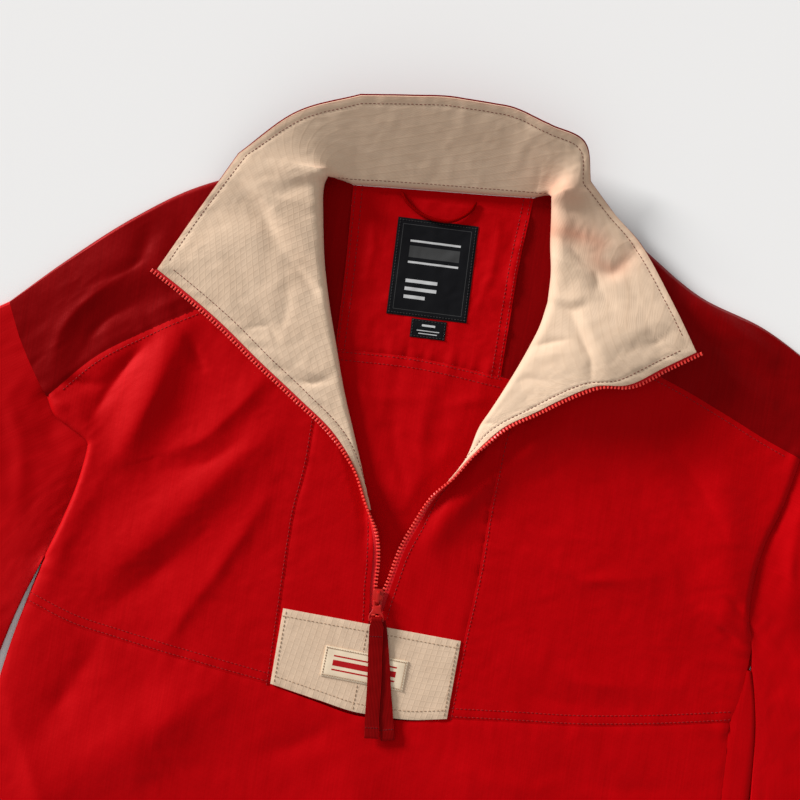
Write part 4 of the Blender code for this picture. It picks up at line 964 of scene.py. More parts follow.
def ripstop_material():
    """Tan ripstop: a fine weave with a raised double thread every few millimetres, both ways."""
    tree = new_tree("tan_ripstop")
    cells = []
    for direction in ("X", "Y"):
        lines = threads(tree, on_cloth(tree, turned=RIPSTOP_TURN), RIPSTOP_PITCH, 0.35, direction, 1.0)
        cells.append(maths(tree, "POWER", lines, 9.0))
    grid = maths(tree, "MAXIMUM", *cells)
    slubs = noise(tree, on_cloth(tree, 0.7, 5), detail=2)
    cloudy = noise(tree, on_cloth(tree, 30, 30), detail=3)
    tone = maths(tree, "MULTIPLY_ADD", grid, -0.22, maths(tree, "ADD", cloudy, 0.12))
    colour = blend_colours(tree, tone, *TAN)
    # Mixes in the painted reddish shade that each point of the cloth carries.
    red_shade = node(tree, "ShaderNodeAttribute", attribute_name="red_shade")[2]
    colour = blend_colours(tree, red_shade, colour, TAN_IN_PAINTED_SHADE)
    height = maths(tree, "MULTIPLY_ADD", grid, 0.35, maths(tree, "MULTIPLY", slubs, 0.3))
    return finish_material("tan_ripstop", colour, height, 0.78, 0.16, specular=0.15, sheen=0.15)


face, away, inwards = collar_face()
closed_edge = np.clip(1 - inwards / 3, 0, 1)[..., None]
# Painted shade, reddish as if lit by the red shell, on the lining: strongest where it stands up, along its
# outer edge and in its shaded folds.
painted_red_shade = np.clip(1 - np.abs(away[..., 2]), 0, 1) ** 1.5 * 0.55 + 0.35 * np.exp(-inwards / 1.2)
painted_red_shade = np.clip(painted_red_shade + creased(face, COLLAR_PAINTED_SHADE, 9), 0, 1)
tan_cloth = ripstop_material()
collar_lining = cloth_piece("collar_lining_cloth", face,
                            face - away * (LINING_DEEP + closed_edge * (OUTER_FROM - LINING_DEEP - 0.1)),
                            tan_cloth, plan=False, red_shade=painted_red_shade)
put(collar_lining, "collar_lining_and_facing")

dark_cloth = shell_cloth("dark_red_shell", YOKE_RED, YOKE_GLOSS, rough=0.42, specular=0.9)
upper, lower = face - away * OUTER_FROM, face - away * OUTER_TO
around = slice(COLLAR_SEAM * FINE, len(face) - COLLAR_SEAM * FINE)
proud = unit(face[:, -1] - face[:, -2]) * OUTER_PROUD
top_rows = slice(CORNER * FINE + 4, -CORNER * FINE - 4)
outer_upper, outer_lower = upper.copy(), lower.copy()
for grid in (outer_upper, outer_lower):
    grid[top_rows, -1] += proud[top_rows]
collar_outer = cloth_piece("collar_outer_cloth", seam_in(outer_upper[around]), seam_in(outer_lower[around]),
                           dark_cloth, plan=False)
put(collar_outer, "collar_outer")

# =========================================================================== fronts
# Each front is a chest panel and a centre panel with a princess seam between them, and both turn
# open above the zip slider. One piece below the chest seam runs from side to side.
UNDER_STEPS = 16       # points from the princess seam to the place where a front turns back
TURN_START = 3.6       # in steps up the princess seam, where the zip's edge starts to turn up
LOWER_ROWS = 14
ZIP_ROW = 4.5          # from the edge along the zip to the stitch row beside it
zip_lines = {}         # each front's edge along the zip, and how far it has turned up there
zip_rows = {}          # the stitch row beside it


def make_center_front(side):
    order = (slice(None, COLLAR_SEAM * FINE + 1) if side == "left"
             else slice(None, -COLLAR_SEAM * FINE - 2, -1))
    inner, outer = upper[order], lower[order]
    princess = seam(side, "princess")[::-1]
    flat_rows = len(princess) - len(inner)
    zip_edge = smooth([outer[0, -1, :2], *SEAMS[side]["zip_edge"]], flat_rows + 1)[::-1]
    under = np.array([np.linspace(princess[flat_rows + k], inner[k, 0, :2], UNDER_STEPS + 1)[:-1]
                      for k in range(len(inner))])
    under = np.dstack([under, front_skin(under)])
    turning = np.clip((np.arange(flat_rows) / FINE - TURN_START) / (flat_rows / FINE - TURN_START), 0, 1)
    turning = (turning ** 1.5)[:, None]
    first = np.concatenate([under[0], outer[0]])
    share = distances(first)[:, None] / distances(first)[-1]
    lying = princess[:flat_rows + 1, None] * (1 - share) + zip_edge[:, None] * share
    grids = []
    for drop, grid in ((0, outer), (CLOTH, inner)):
        turned = np.concatenate([under - (0, 0, drop), grid], axis=1)
        lift = turned[0, :, 2] - front_skin(turned[:1, :, :2])[0]
        plan = lying[:-1] + (turned[:1, :, :2] - lying[-1:]) * turning[..., None]
        height = front_skin(plan) - drop * (1 - turning) + lift * turning
        grids.append(seam_in(np.concatenate([np.dstack([plan, height]), turned])))
    zip_lines[side] = grids[0][:, -1], np.concatenate([turning[:, 0], np.ones(len(inner))])
    inwards = from_edge(grids[0])
    zip_rows[side] = np.array([[np.interp(ZIP_ROW, inwards[k, ::-1], grids[0][k, ::-1, axis])
                                for axis in range(3)] for k in range(2 * FINE, flat_rows)])
    for grid in grids:
        grid[:, 0, 0] += EDGE_GAP if side == "left" else -EDGE_GAP
    piece = cloth_piece(f"front_center_{side}_cloth", *grids, red_cloth)
    put(piece, f"front_center_{side}")


def make_chest(side):
    outer = chain(seam(side, "armhole_body"), seam(side, "side_top"))[::-1]
    plan = inset(patch(seam(side, "chest_seam"), seam(side, "yoke_seam"), outer,
                       seam(side, "princess")[::-1]))
    top = np.dstack([plan, front_skin(plan)])
    piece = cloth_piece(f"chest_{side}_cloth", top, top - (0, 0, CLOTH), red_cloth)
    put(piece, f"chest_{side}")


make_center_front("left")
make_center_front("right")
make_chest("left")
make_chest("right")

lower_plan = inset(patch(
    seam("middle", "hem_front"),
    chain(seam("left", "chest_seam"), seam("middle", "chest_point"), seam("right", "chest_seam")[::-1]),
    seam("left", "side_low", LOWER_ROWS)[::-1], seam("right", "side_low", LOWER_ROWS)[::-1]))
lower_top = np.dstack([lower_plan, front_skin(lower_plan)])
front_lower = cloth_piece("front_lower_cloth", lower_top, lower_top - (0, 0, CLOTH), red_cloth)
put(front_lower, "front_lower")

# =========================================================================== yokes
# A darker red piece on each side runs from the front yoke seam, over the shoulder, to the back.
YOKE_ANGLES = (60, 30, 0, -30, -60)


def make_yoke(side):
    order = (slice(COLLAR_SEAM * FINE + 1, SIDE_NECK * FINE) if side == "left"
             else slice(-COLLAR_SEAM * FINE - 2, -SIDE_NECK * FINE - 1, -1))
    armhole, shoulder = seam(side, "armhole_yoke"), seam(side, "shoulder")
    neck = lower[order, 0, :2]
    neck = neck + unit(armhole[0] - neck) * EDGE_GAP
    front_neck = np.concatenate([seam(side, "yoke_seam")[-1:], neck, shoulder[-1:]])
    back_neck = chain(seam(side, "neck_side"), seam(side, "back_panel"))[::-1]
    front = inset(patch(seam(side, "yoke_seam"), shoulder, armhole[::-1], front_neck), top=False)
    back = inset(patch(seam(side, "back_seam"), shoulder, armhole[::-1], back_neck), top=False)
    edge = front[-1].copy()
    over_edge = square_to(shoulder, (0, 2000))
    front[-1] = back[-1] = edge - over_edge * FOLD_TOP / 2
    grid, up_way = join([level(np.dstack([front, front_skin(front, FOLD_TOP)]), True),
                         round_fold(edge, over_edge, YOKE_ANGLES), level(back[::-1], False)])
    piece = cloth_piece(f"yoke_{side}_cloth", grid, grid - up_way * CLOTH, dark_cloth)
    put(piece, f"yoke_{side}")


make_yoke("left")
make_yoke("right")

# =========================================================================== sleeves
# Each sleeve is one tube of shell cloth, lying flat, with a plain hem at the wrist.
SLEEVE_ANGLES = (50, 20, -20, -50)
SLEEVE_ACROSS, SLEEVE_ALONG = 4, 12


def make_sleeve(side):
    armhole = chain(seam(side, "armhole_yoke", SLEEVE_ACROSS), seam(side, "armhole_body", SLEEVE_ACROSS))
    outer, inner = (seam(side, name, SLEEVE_ALONG) for name in ("sleeve_outer", "sleeve_inner"))
    plan = inset(patch(armhole, np.linspace(outer[-1], inner[-1], len(armhole)), outer, inner))
    folds = []
    for edge, middle, angles in ((-1, plan[:, 0], SLEEVE_ANGLES), (0, plan[:, -1], SLEEVE_ANGLES[::-1])):
        outwards = -square_to(plan[:, edge], middle)
        folds.append((edge, outwards,
                      [g.swapaxes(0, 1) for g in round_fold(plan[:, edge], outwards, angles)]))
    for edge, outwards, _ in folds:
        plan[:, edge] -= outwards * FOLD_TOP / 2
    (_, _, inner_fold), (_, _, outer_fold) = folds
    grid, up_way = join([level(np.dstack([plan, front_skin(plan, FOLD_TOP, side)]), True), inner_fold,
                         level(plan[:, ::-1], False), outer_fold], axis=1)
    piece = cloth_piece(f"sleeve_{side}_cloth", grid, grid - up_way * CLOTH, red_cloth, ring=True,
                        plan=False)
    put(piece, f"sleeve_{side}")


make_sleeve("left")
make_sleeve("right")

# =========================================================================== zip
# Moulded coral teeth on a woven red tape. The slider has a crown that holds a yoke-shaped pull.
TAPE_WALL, TAPE_START, TAPE_WIDTH, TAPE_DROP, TAPE_CLOTH = 1.4, 0.4, 5.3, 0.65, 0.6
TAPE_UNDER = 1.0       # the tape's middle lies this far under the front's face
TAPE_SHARE = 0.66      # how much of the band shows as plain tape beside the teeth
TAPE_TUCK = 0.1        # the band starts so far under the front, as a share of the way from the teeth
BAND_POINTS, TAPE_POINTS = 5, 4      # across the band, and across the tape that shows
TOOTH_CENTRE = 0.76    # the teeth's line, as a share of the band's width
TOOTH_PITCH, TOOTH_THICK, TOOTH_EASE = 2.7, 1.9, 0.28
TOOTH_SHARP, HARD_SHARP = 40.0, 35.0      # edges sharper than this many degrees aren't smoothed
TAPE_RIBS = 0.9
PLACING_SEED = 3       # for the small differences in size between teeth or stitches
TOOTH_SHAPE = [(-0.62, -1.5), (0.62, -1.5), (0.62, 0.1), (0.84, 0.6), (0.5, 1.4), (-0.5, 1.4),
               (-0.84, 0.6), (-0.62, 0.1)]
TAPE_RED = ((0.50, 0.002, 0.006, 1), (0.64, 0.006, 0.012, 1))
CORAL = ((0.76, 0.030, 0.022, 1), (0.90, 0.055, 0.036, 1))
ENAMEL = ((0.38, 0.006, 0.004, 1), (0.46, 0.009, 0.006, 1))


def tape_material():
    tree = new_tree("zip_tape")
    ribs = threads(tree, on_cloth(tree), TAPE_RIBS, 0.2, "Y")
    return finish_material("zip_tape", blend_colours(tree, ribs, *TAPE_RED), ribs, 0.7, 0.12, sheen=0.2,
                           sheen_tint=RED_SHEEN)


def moulded_material(name, colours, specular):
    tree = new_tree(name)
    spot = node(tree, "ShaderNodeTexCoord")["Object"]
    speckle = noise(tree, spot, 900.0, 3)
    cloud = noise(tree, spot, 60.0, 2)
    rough = maths(tree, "MULTIPLY_ADD", speckle, 0.2, 0.28)
    return finish_material(name, blend_colours(tree, cloud, *colours), speckle, rough, 0.03,
                           specular=specular)


def tape_band(side):
    """The band's middle surface and the way through it, from under the patch to the collar."""
    rows = slice(0, CORNER * FINE + 1) if side == "left" else slice(None, -CORNER * FINE - 2, -1)
    edge, before, through = face[rows, -1], face[rows, -4], away[rows, -2]
    reach = edge - before
    reach = unit(reach - (reach * through).sum(-1, keepdims=True) * through)
    sewn = edge - through * (TAPE_DROP + TAPE_WALL / 2)
    turned = np.stack([sewn + reach * d for d in np.linspace(TAPE_START, TAPE_WIDTH, BAND_POINTS)],
                      axis=1)
    cloth, turning = zip_lines[side]
    last = int((turning < 1).sum())
    teeth = smooth([turned[0, -1, :2], *SEAMS[side]["teeth"]], last + 1)[:0:-1][FINE:]
    line, turning = cloth[FINE:last], turning[FINE:last, None]
    tucked = np.column_stack([line[:, :2] - teeth, np.zeros(len(teeth))]) * TAPE_TUCK - (0, 0, TAPE_UNDER)
    start = line + tucked * (1 - turning) + (turned[0, 0] - cloth[last]) * turning
    end = np.column_stack([teeth, start[:, 2:] + (turned[0, -1] - turned[0, 0])[2] * turning])
    flat = np.stack([start + (end - start) * f for f in np.linspace(0, 1, BAND_POINTS)], axis=1)
    ways = unit((0.0, 0.0, -1.0) * (1 - turning) + through[0] * turning)
    return np.concatenate([flat, turned]), np.concatenate([ways, through])


def line_object(lines):
    """Lines with the way up at each point, as one mesh of edges."""
    points, ups, edges = [], [], []
    for line, up_way in lines:
        first = len(points)
        points += [tuple(p) for p in line * MM]
        ups += [tuple(u) for u in up_way]
        edges += [(first + i, first + i + 1) for i in range(len(line) - 1)]
    mesh = bpy.data.meshes.new("lines")
    mesh.from_pydata(points, edges, [])
    mesh.attributes.new("up", "FLOAT_VECTOR", "POINT").data.foreach_set("vector", np.array(ups).ravel())
    return new_object("lines", mesh)


def placing_tree():
    """Geometry nodes that set one small piece after another along a line."""
    tree = bpy.data.node_groups.new("set_along_a_line", "GeometryNodeTree")
    inputs = {label: tree.interface.new_socket(label, in_out="INPUT", socket_type=kind).identifier
              for label, kind in (("Line", "NodeSocketGeometry"), ("Piece", "NodeSocketObject"),
                                  ("Pitch", "NodeSocketFloat"), ("Seed", "NodeSocketInt"),
                                  ("Finish", "NodeSocketMaterial"))}
    tree.interface.new_socket("Row", in_out="OUTPUT", socket_type="NodeSocketGeometry")
    given = node(tree, "NodeGroupInput")
    curve = node(tree, "GeometryNodeMeshToCurve", {0: given["Line"]})[0]
    spaced = node(tree, "GeometryNodeResampleCurve", {"Curve": curve, "Length": given["Pitch"]},
                  mode="LENGTH")[0]
    tangent = node(tree, "GeometryNodeInputTangent")[0]
    up_way = node(tree, "GeometryNodeInputNamedAttribute", {"Name": "up"}, data_type="FLOAT_VECTOR")[0]
    along = node(tree, "FunctionNodeAlignRotationToVector", {"Vector": tangent}, axis="X")[0]
    rotation = node(tree, "FunctionNodeAlignRotationToVector", {"Rotation": along, "Vector": up_way},
                    axis="Z", pivot_axis="X")[0]
    uneven = node(tree, "FunctionNodeRandomValue", {0: (0.92, 0.92, 0.92), 1: (1.08, 1.08, 1.08),
                                                    "Seed": given["Seed"]}, data_type="FLOAT_VECTOR")[0]
    piece = node(tree, "GeometryNodeObjectInfo", {"Object": given["Piece"]})["Geometry"]
    placed = node(tree, "GeometryNodeInstanceOnPoints", {
        "Points": spaced, "Instance": piece, "Rotation": rotation, "Scale": uneven})[0]
    real = node(tree, "GeometryNodeRealizeInstances", {"Geometry": placed})[0]
    finished = node(tree, "GeometryNodeSetMaterial", {"Geometry": real, "Material": given["Finish"]})[0]
    node(tree, "NodeGroupOutput", {0: finished})
    return tree, inputs


PLACING, PLACING_INPUTS = placing_tree()


def mesh_with_modifiers(piece):
    bpy.context.view_layer.update()
    return bpy.data.meshes.new_from_object(piece.evaluated_get(bpy.context.evaluated_depsgraph_get()))


def set_along(name, lines, piece, pitch, material):
    """One mesh of a small piece repeated along lines."""
    carrier = line_object(lines)
    modifier = carrier.modifiers.new("row", "NODES")
    modifier.node_group = PLACING
    for label, value in (("Piece", piece), ("Pitch", pitch * MM), ("Seed", PLACING_SEED),
                         ("Finish", material)):
        modifier[PLACING_INPUTS[label]] = value
    mesh = mesh_with_modifiers(carrier)
    bpy.data.objects.remove(carrier)
    mesh.name = name
    return new_object(name, mesh)


def hidden_piece(name, shape):
    """A small piece that isn't shown itself, only its copies in a row."""
    mesh = bpy.data.meshes.new(name)
    shape.to_mesh(mesh)
    shape.free()
    made = new_object(name, mesh)
    made.hide_render = True
    return made


def tooth():
    """One tooth: a block with a rounded head, eased on its two faces."""
    shape = bmesh.new()
    rings = []
    for level_z, ease in ((-TOOTH_THICK / 2, TOOTH_EASE), (-TOOTH_THICK / 2 + TOOTH_EASE, 0),
                          (TOOTH_THICK / 2 - TOOTH_EASE, 0), (TOOTH_THICK / 2, TOOTH_EASE)):
        rings.append([shape.verts.new(((x - math.copysign(ease, x)) * MM, (y - math.copysign(ease, y)) * MM,
                                       level_z * MM)) for x, y in TOOTH_SHAPE])
    shape.faces.new(rings[0][::-1])
    shape.faces.new(rings[-1])
    for low, high in zip(rings, rings[1:]):
        for a, b in zip(range(len(low)), [*range(1, len(low)), 0]):
            shape.faces.new((low[a], low[b], high[b], high[a]))
    return hidden_piece("tooth", shape)


coral = moulded_material("coral_moulding", CORAL, 0.5)
enamel = moulded_material("red_enamel", ENAMEL, 0.22)
tape_cloth = tape_material()
one_tooth = tooth()
tooth_lines = []
for side in ("left", "right"):
    band, through = tape_band(side)
    shown = np.stack([band[:, 0] + (band[:, -1] - band[:, 0]) * f for f in
                      np.linspace(0, TAPE_SHARE, TAPE_POINTS)], axis=1)
    offset = through[:, None] * TAPE_CLOTH / 2
    tape = cloth_piece(f"zip_tape_{side}_cloth", shown + offset, shown - offset, tape_cloth, plan=False)
    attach(tape, "garment")
    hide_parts(f"zip_tape_{side}")
    line = band[:, 0] + (band[:, -1] - band[:, 0]) * TOOTH_CENTRE
    across = band[:, -1] - band[:, 0]
    run = np.gradient(line, axis=0)
    flip = np.sign(np.cross(through, run)[len(run) // 2] @ across[len(run) // 2])
    tooth_lines.append((line, through * flip))
zip_teeth = set_along("zip_teeth", tooth_lines, one_tooth, TOOTH_PITCH, coral)
soften(zip_teeth.data, TOOTH_SHARP)
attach(zip_teeth, "garment")
bpy.data.objects.remove(one_tooth)


def eased_copy(node_name, body, width):
    """A copy of a hard piece with its edges eased."""
    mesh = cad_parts[node_name].data.copy()
    mesh.name = f"{node_name}_eased"
    shape = bmesh.new()
    shape.from_mesh(mesh)
    bmesh.ops.remove_doubles(shape, verts=shape.verts, dist=1e-6)
    bmesh.ops.dissolve_limit(shape, angle_limit=math.radians(2), verts=shape.verts, edges=shape.edges)
    shape.to_mesh(mesh)
    shape.free()
    mesh.materials.clear()
    mesh.materials.append(enamel)
    piece = new_object(f"{node_name}_eased", mesh)
    bevel = piece.modifiers.new("eased_edges", "BEVEL")
    bevel.width, bevel.segments, bevel.limit_method = width * MM, 2, "ANGLE"
    bevel.angle_limit = math.radians(HARD_SHARP)
    mesh.shade_smooth()
    done = mesh_with_modifiers(piece)
    piece.modifiers.clear()
    piece.data = done
    soften(done, HARD_SHARP)
    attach(piece, body)
    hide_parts(node_name)


eased_copy("zip_slider", "garment", 0.28)
eased_copy("zip_puller", "pull", 0.22)

# =========================================================================== patch and labels
# A tan patch is sewn under the slider with a woven label on it. A black neck label and a small
# black size tab are sewn inside the back. The labels carry only plain bars and frames.
PATCH_TOP = [(-69, -17), (66, -20)]
PATCH_FOOT = [(-69.5, -74), (-34, -80), (2, -85), (38, -84), (65, -79)]
PATCH_WALL, LABEL_WALL = 1.0, 0.9
PATCH_COLUMNS, PATCH_ROWS, PATCH_SIZE = 73, 37, (135, 60)
RIM_EASE, RIM_DEEP = 1.1, 0.4      # how a patch's or a label's face falls towards its edges
# Each label's middle, size and turn in degrees.
PATCH_LABEL = ((-2.0, -51.5), (62.5, 23.0), -2.0)
NECK_LABEL = ((0.7, 250.7), (60.5, 73.0), 2.0)
SIZE_LABEL = ((4.7, 206.2), (26.5, 14.0), 2.0)
LABEL_OVER_BACK = SEAM_GAP + 0.5
LABEL_OVER_PATCH = SEAM_GAP + LABEL_WALL * 0.8
LABEL_BLACK, LABEL_GREY, LABEL_DIM = (0.006, 0.006, 0.007, 1), (0.50, 0.50, 0.50, 1), (0.05, 0.05, 0.05, 1)
LABEL_CREAM, LABEL_FRAME, LABEL_RED = (0.70, 0.54, 0.39, 1), (0.55, 0.40, 0.27, 1), (0.42, 0.01, 0.012, 1)


def rectangle(centre, size, turned, columns, rows):
    turned = math.radians(turned)
    x, y = np.meshgrid(np.linspace(-0.5, 0.5, columns) * size[0], np.linspace(-0.5, 0.5, rows) * size[1])
    return np.dstack([centre[0] + x * math.cos(turned) - y * math.sin(turned),
                      centre[1] + x * math.sin(turned) + y * math.cos(turned)])


def rounded_rim(grid_shape, columns_mm, rows_mm):
    """How far a flat piece's face falls towards its own edges."""
    rows, columns = grid_shape
    u = np.minimum(np.arange(columns), np.arange(columns)[::-1]) * columns_mm / (columns - 1)
    v = np.minimum(np.arange(rows), np.arange(rows)[::-1]) * rows_mm / (rows - 1)
    nearest = np.minimum(u[None], v[:, None])
    return -RIM_DEEP * np.exp(-nearest / RIM_EASE)


def bars_material(name, ground, bars, size, weave=0.5):
    """A woven label: a plain ground with bars, each as (x, y, half width, half height, colour)
    in millimetres from the label's middle."""
    tree = new_tree(name)
    uv = node(tree, "ShaderNodeSeparateXYZ", {0: node(tree, "ShaderNodeUVMap", uv_map="cloth")[0]})
    cloudy = noise(tree, on_cloth(tree, 9, 9), detail=3)
    lighter = tuple(min(1, c * 1.6 + 0.001) for c in ground[:3]) + (1,)
    colour = blend_colours(tree, maths(tree, "MULTIPLY", cloudy, 0.5), ground, lighter)
    raised = maths(tree, "MULTIPLY", threads(tree, on_cloth(tree), weave, 0.2, "Y"), 0.3)
    for x, y, half_x, half_y, tone in bars:
        off = [maths(tree, "ABSOLUTE", maths(tree, "SUBTRACT", uv[axis], middle + size[axis] / 2))
               for axis, middle in enumerate((x, y))]
        inside = maths(tree, "MULTIPLY", maths(tree, "LESS_THAN", off[0], half_x),
                       maths(tree, "LESS_THAN", off[1], half_y))
        colour = blend_colours(tree, inside, colour, tone)
        raised = maths(tree, "ADD", raised, maths(tree, "MULTIPLY", inside, 0.5))
    return finish_material(name, colour, raised, 0.8, 0.1, specular=0.05)


def frame_bars(size, inset_mm, half, tone):
    """Four thin bars that make a frame inside a label's edge."""
    w, h = size[0] / 2 - inset_mm, size[1] / 2 - inset_mm
    return [(0, h, w + half, half, tone), (0, -h, w + half, half, tone), (w, 0, half, h, tone),
            (-w, 0, half, h, tone)]


def make_label(name, place, columns, rows, base, material, curl=0.0):
    plan = rectangle(*place, columns, rows)
    height = base(plan) + rounded_rim(plan.shape[:2], *place[1]) + curl * ripple(
        plan[..., 0] / 18, plan[..., 1] / 18, 61)
    top = np.dstack([plan, height])
    piece = cloth_piece(f"{name}_cloth", top, top - (0, 0, CLOTH), material, plan=False)
    put(piece, name)


plan = patch(smooth(PATCH_FOOT, PATCH_COLUMNS), smooth(PATCH_TOP, PATCH_COLUMNS),
             *[np.linspace(PATCH_FOOT[end], PATCH_TOP[end], PATCH_ROWS) for end in (0, -1)])
PATCH_EDGES = [plan[0], plan[-1], plan[:, 0], plan[:, -1]]


def patch_skin(points):
    """Height of the patch's face, which lies over the front and its seam."""
    height = front_top(points) + SEAM_GAP + PATCH_WALL + crumpled(points, 71, 0.22, 18)
    for number, line in enumerate(PATCH_EDGES):
        height += puckers(points, line, 0.35, 6, 5, 73 + number)
    return height


def patch_label_skin(points):
    return patch_skin(points) + LABEL_OVER_PATCH


def back_label_skin(points):
    return back_skin(points) + LABEL_OVER_BACK


patch_top = np.dstack([plan, patch_skin(plan) + rounded_rim(plan.shape[:2], *PATCH_SIZE)])
front_patch = cloth_piece("front_patch_cloth", patch_top, patch_top - (0, 0, PATCH_WALL), tan_cloth,
                          plan=False, red_shade=np.zeros(plan.shape[:2]))
put(front_patch, "front_patch")

patch_label_bars = frame_bars(PATCH_LABEL[1], 1.6, 0.35, LABEL_FRAME) + [
    (0, 5.2, 24, 0.6, LABEL_RED), (0, 0, 24, 2.2, LABEL_RED), (0, -5.2, 24, 0.6, LABEL_RED)]
make_label("patch_label", PATCH_LABEL, 33, 13, patch_label_skin,
           bars_material("cream_label", LABEL_CREAM, patch_label_bars, PATCH_LABEL[1], 0.6))
neck_label_bars = frame_bars(NECK_LABEL[1], 4.5, 0.2, LABEL_DIM) + [
    (0, 20, 19, 0.8, LABEL_GREY), (0, 12, 19, 4.4, LABEL_DIM), (0, 4, 19, 0.8, LABEL_GREY),
    (-7, -10, 12, 1.3, LABEL_GREY), (-7, -16, 12, 1.3, LABEL_GREY), (-11, -22, 8, 1.3, LABEL_GREY)]
make_label("neck_label", NECK_LABEL, 33, 41, back_label_skin,
           bars_material("black_label", LABEL_BLACK, neck_label_bars, NECK_LABEL[1]),
           0.25)
size_label_bars = [(0, 2.6, 5, 0.8, LABEL_GREY), (0, -1.4, 8.5, 0.35, LABEL_GREY),
                   (0, -3.6, 7, 0.35, LABEL_GREY)]
make_label("size_label", SIZE_LABEL, 17, 11, back_label_skin,
           bars_material("size_tab", LABEL_BLACK, size_label_bars, SIZE_LABEL[1]))

# =========================================================================== ribbon pull
# One dark red ribbon is folded over the pull's bar, so that two ends hang from it, the back one
# turned a little to the right. Each end is hemmed. Both move with the pull.
PULL_TURN = math.radians(-86.0)
HINGE = (-0.215, -0.0435)
RIBBON_CLOTH = 0.8
# The line over the bar and the lift beside it, each as places along the pull with heights.
RIBBON_WRAP = [(14.4, 8.2), (12.9, 8.3), (12.1, 9.0), (11.9, 9.9), (12.2, 10.8), (13.0, 11.4), (14.4, 11.6)]
RIBBON_REST = [(14.4, 1.9), (19, 1.4), (25, 0.6), (33, 0.0)]
# Each end's turn, its start and length along the pull, and its half width at the start and below it.
RIBBON_FRONT = (math.radians(2.7), 14.4, 88.0, 4.0, 5.3)
RIBBON_BACK = (math.radians(9.4), 14.8, 89.5, 4.9, 5.3)
RIBBON_REST_HEIGHT = 3 * SEAM_GAP + PATCH_WALL + LABEL_WALL + 1.0
FRONT_OVER, BACK_UNDER = 0.8, 0.5      # the front end lies so much higher, and the back one lower
RIBBON_HEM, RIBBON_ACROSS, RIBBON_ROWS, WRAP_ROWS = 8.5, 9, 90, 25
RIBBON_RIBS = 1.1
RIBBON_RED = ((0.14, 0.0004, 0.0006, 1), (0.23, 0.0006, 0.001, 1))


def ribbon_material():
    tree = new_tree("ribbon_twill")
    ribs = threads(tree, on_cloth(tree), RIBBON_RIBS, 0.5)
    slubs = noise(tree, on_cloth(tree, 1.0, 12), detail=3)
    height = maths(tree, "MULTIPLY_ADD", ribs, 0.6, maths(tree, "MULTIPLY", slubs, 0.4))
    return finish_material("ribbon_twill", blend_colours(tree, height, *RIBBON_RED), height, 0.55, 0.14,
                           specular=0.04)


def set_out(points, turned):
    """Points given along the pull from its hinge, across it and up, in the garment's frame."""
    points = np.array(points, float)
    along = np.array((math.cos(PULL_TURN + turned), math.sin(PULL_TURN + turned)))
    across = np.array((-along[1], along[0]))
    plan = points[..., :1] * along + points[..., 1:2] * across + HINGE
    return np.concatenate([plan, points[..., 2:]], axis=-1)


def make_ribbon(name, leg, rest, wrap, seed):
    turned, start, length, narrow, wide = leg
    end = start + length
    along = np.linspace(start, end, RIBBON_ROWS)
    centre = set_out(np.column_stack([along, along * 0, along * 0]), turned)
    height = front_top(centre[:, :2]) + rest
    height += 0.35 * ripple(along / 11, along * 0, seed) * np.clip((along - start - 6) / 12, 0, 1)
    if wrap:
        height += np.interp(along, *zip(*RIBBON_REST))
        wrap_line = smooth(wrap, WRAP_ROWS)
        along = np.concatenate([wrap_line[:, 0], along[1:]])
        height = np.concatenate([wrap_line[:, 1], height[1:]])
    # It widens below the bar, wanders a little to the sides, and is thicker where it is hemmed.
    past = np.maximum(along - start, 0)
    half = np.interp(past, (0, 5), (narrow, wide)) * (1 + 0.03 * ripple(along / 14, along * 0, seed + 2))
    drift = 0.5 * ripple(along / 30, along * 0 + 0.5, seed + 4) * np.clip(past / 15, 0, 1)
    line = np.column_stack([along, height])
    run = np.gradient(line, axis=0)
    normal = unit(np.column_stack([-run[:, 1], run[:, 0]]))
    hem = np.clip((along - end + RIBBON_HEM) / 0.8, 0, 1) * np.clip((end - along) / 0.6, 0.2, 1)
    grids = []
    for top in (1, -1):
        columns = []
        for f in np.linspace(-1, 1, RIBBON_ACROSS):
            # Its edges wave up and down, and turn down a little.
            cup = (0.28 * ripple(along / 9, along * 0 + 2 * f, seed + 6) * abs(f) * np.clip(past / 10, 0, 1)
                   - 0.12 * (abs(f) > 0.9))
            rise = RIBBON_CLOTH / 2 * top + cup + (0.35 * hem if top > 0 else 0)
            at = line + normal * rise[:, None]
            columns.append(np.column_stack([at[:, 0], half * f + drift, at[:, 1]]))
        grids.append(set_out(np.stack(columns, axis=1), turned))
    piece = cloth_piece(f"{name}_cloth", *grids, ribbon_cloth, plan=False)
    put(piece, name, body="pull")
    return grids[0]


ribbon_cloth = ribbon_material()
back_ribbon = make_ribbon("pull_ribbon_back", RIBBON_BACK, RIBBON_REST_HEIGHT - BACK_UNDER, (), 81)
front_ribbon = make_ribbon("pull_ribbon_front", RIBBON_FRONT, RIBBON_REST_HEIGHT + FRONT_OVER, RIBBON_WRAP,
                           87)

# =========================================================================== stitching
# Lockstitch rows in matching thread: beside the seams, inside the collar's and the zip's edges,
# and round the patch and labels. Each stitch is a small rounded bar, sunk a little in the cloth.
STITCH_LONG, STITCH_WIDE, STITCH_PITCH = 2.3, 0.62, 3.1
THREAD_TWIST = 0.5
# How far a row's middle lies over the shell, over the patch, and over collar, labels and ribbon.
SHELL_LIFT, PATCH_LIFT, FINE_LIFT = 0.12, 0.15, 0.1
# How far each row lies from its seam. Where there are two rows, both are given.
YOKE_ROW, CHEST_ROWS, PRINCESS_ROW, HEM_ROW = 4.0, (8.0, 2.0), 2.2, 20.0
PANEL_ROWS, BACK_SEAM_ROWS = (2.0, 7.0), (2.0, 8.0)
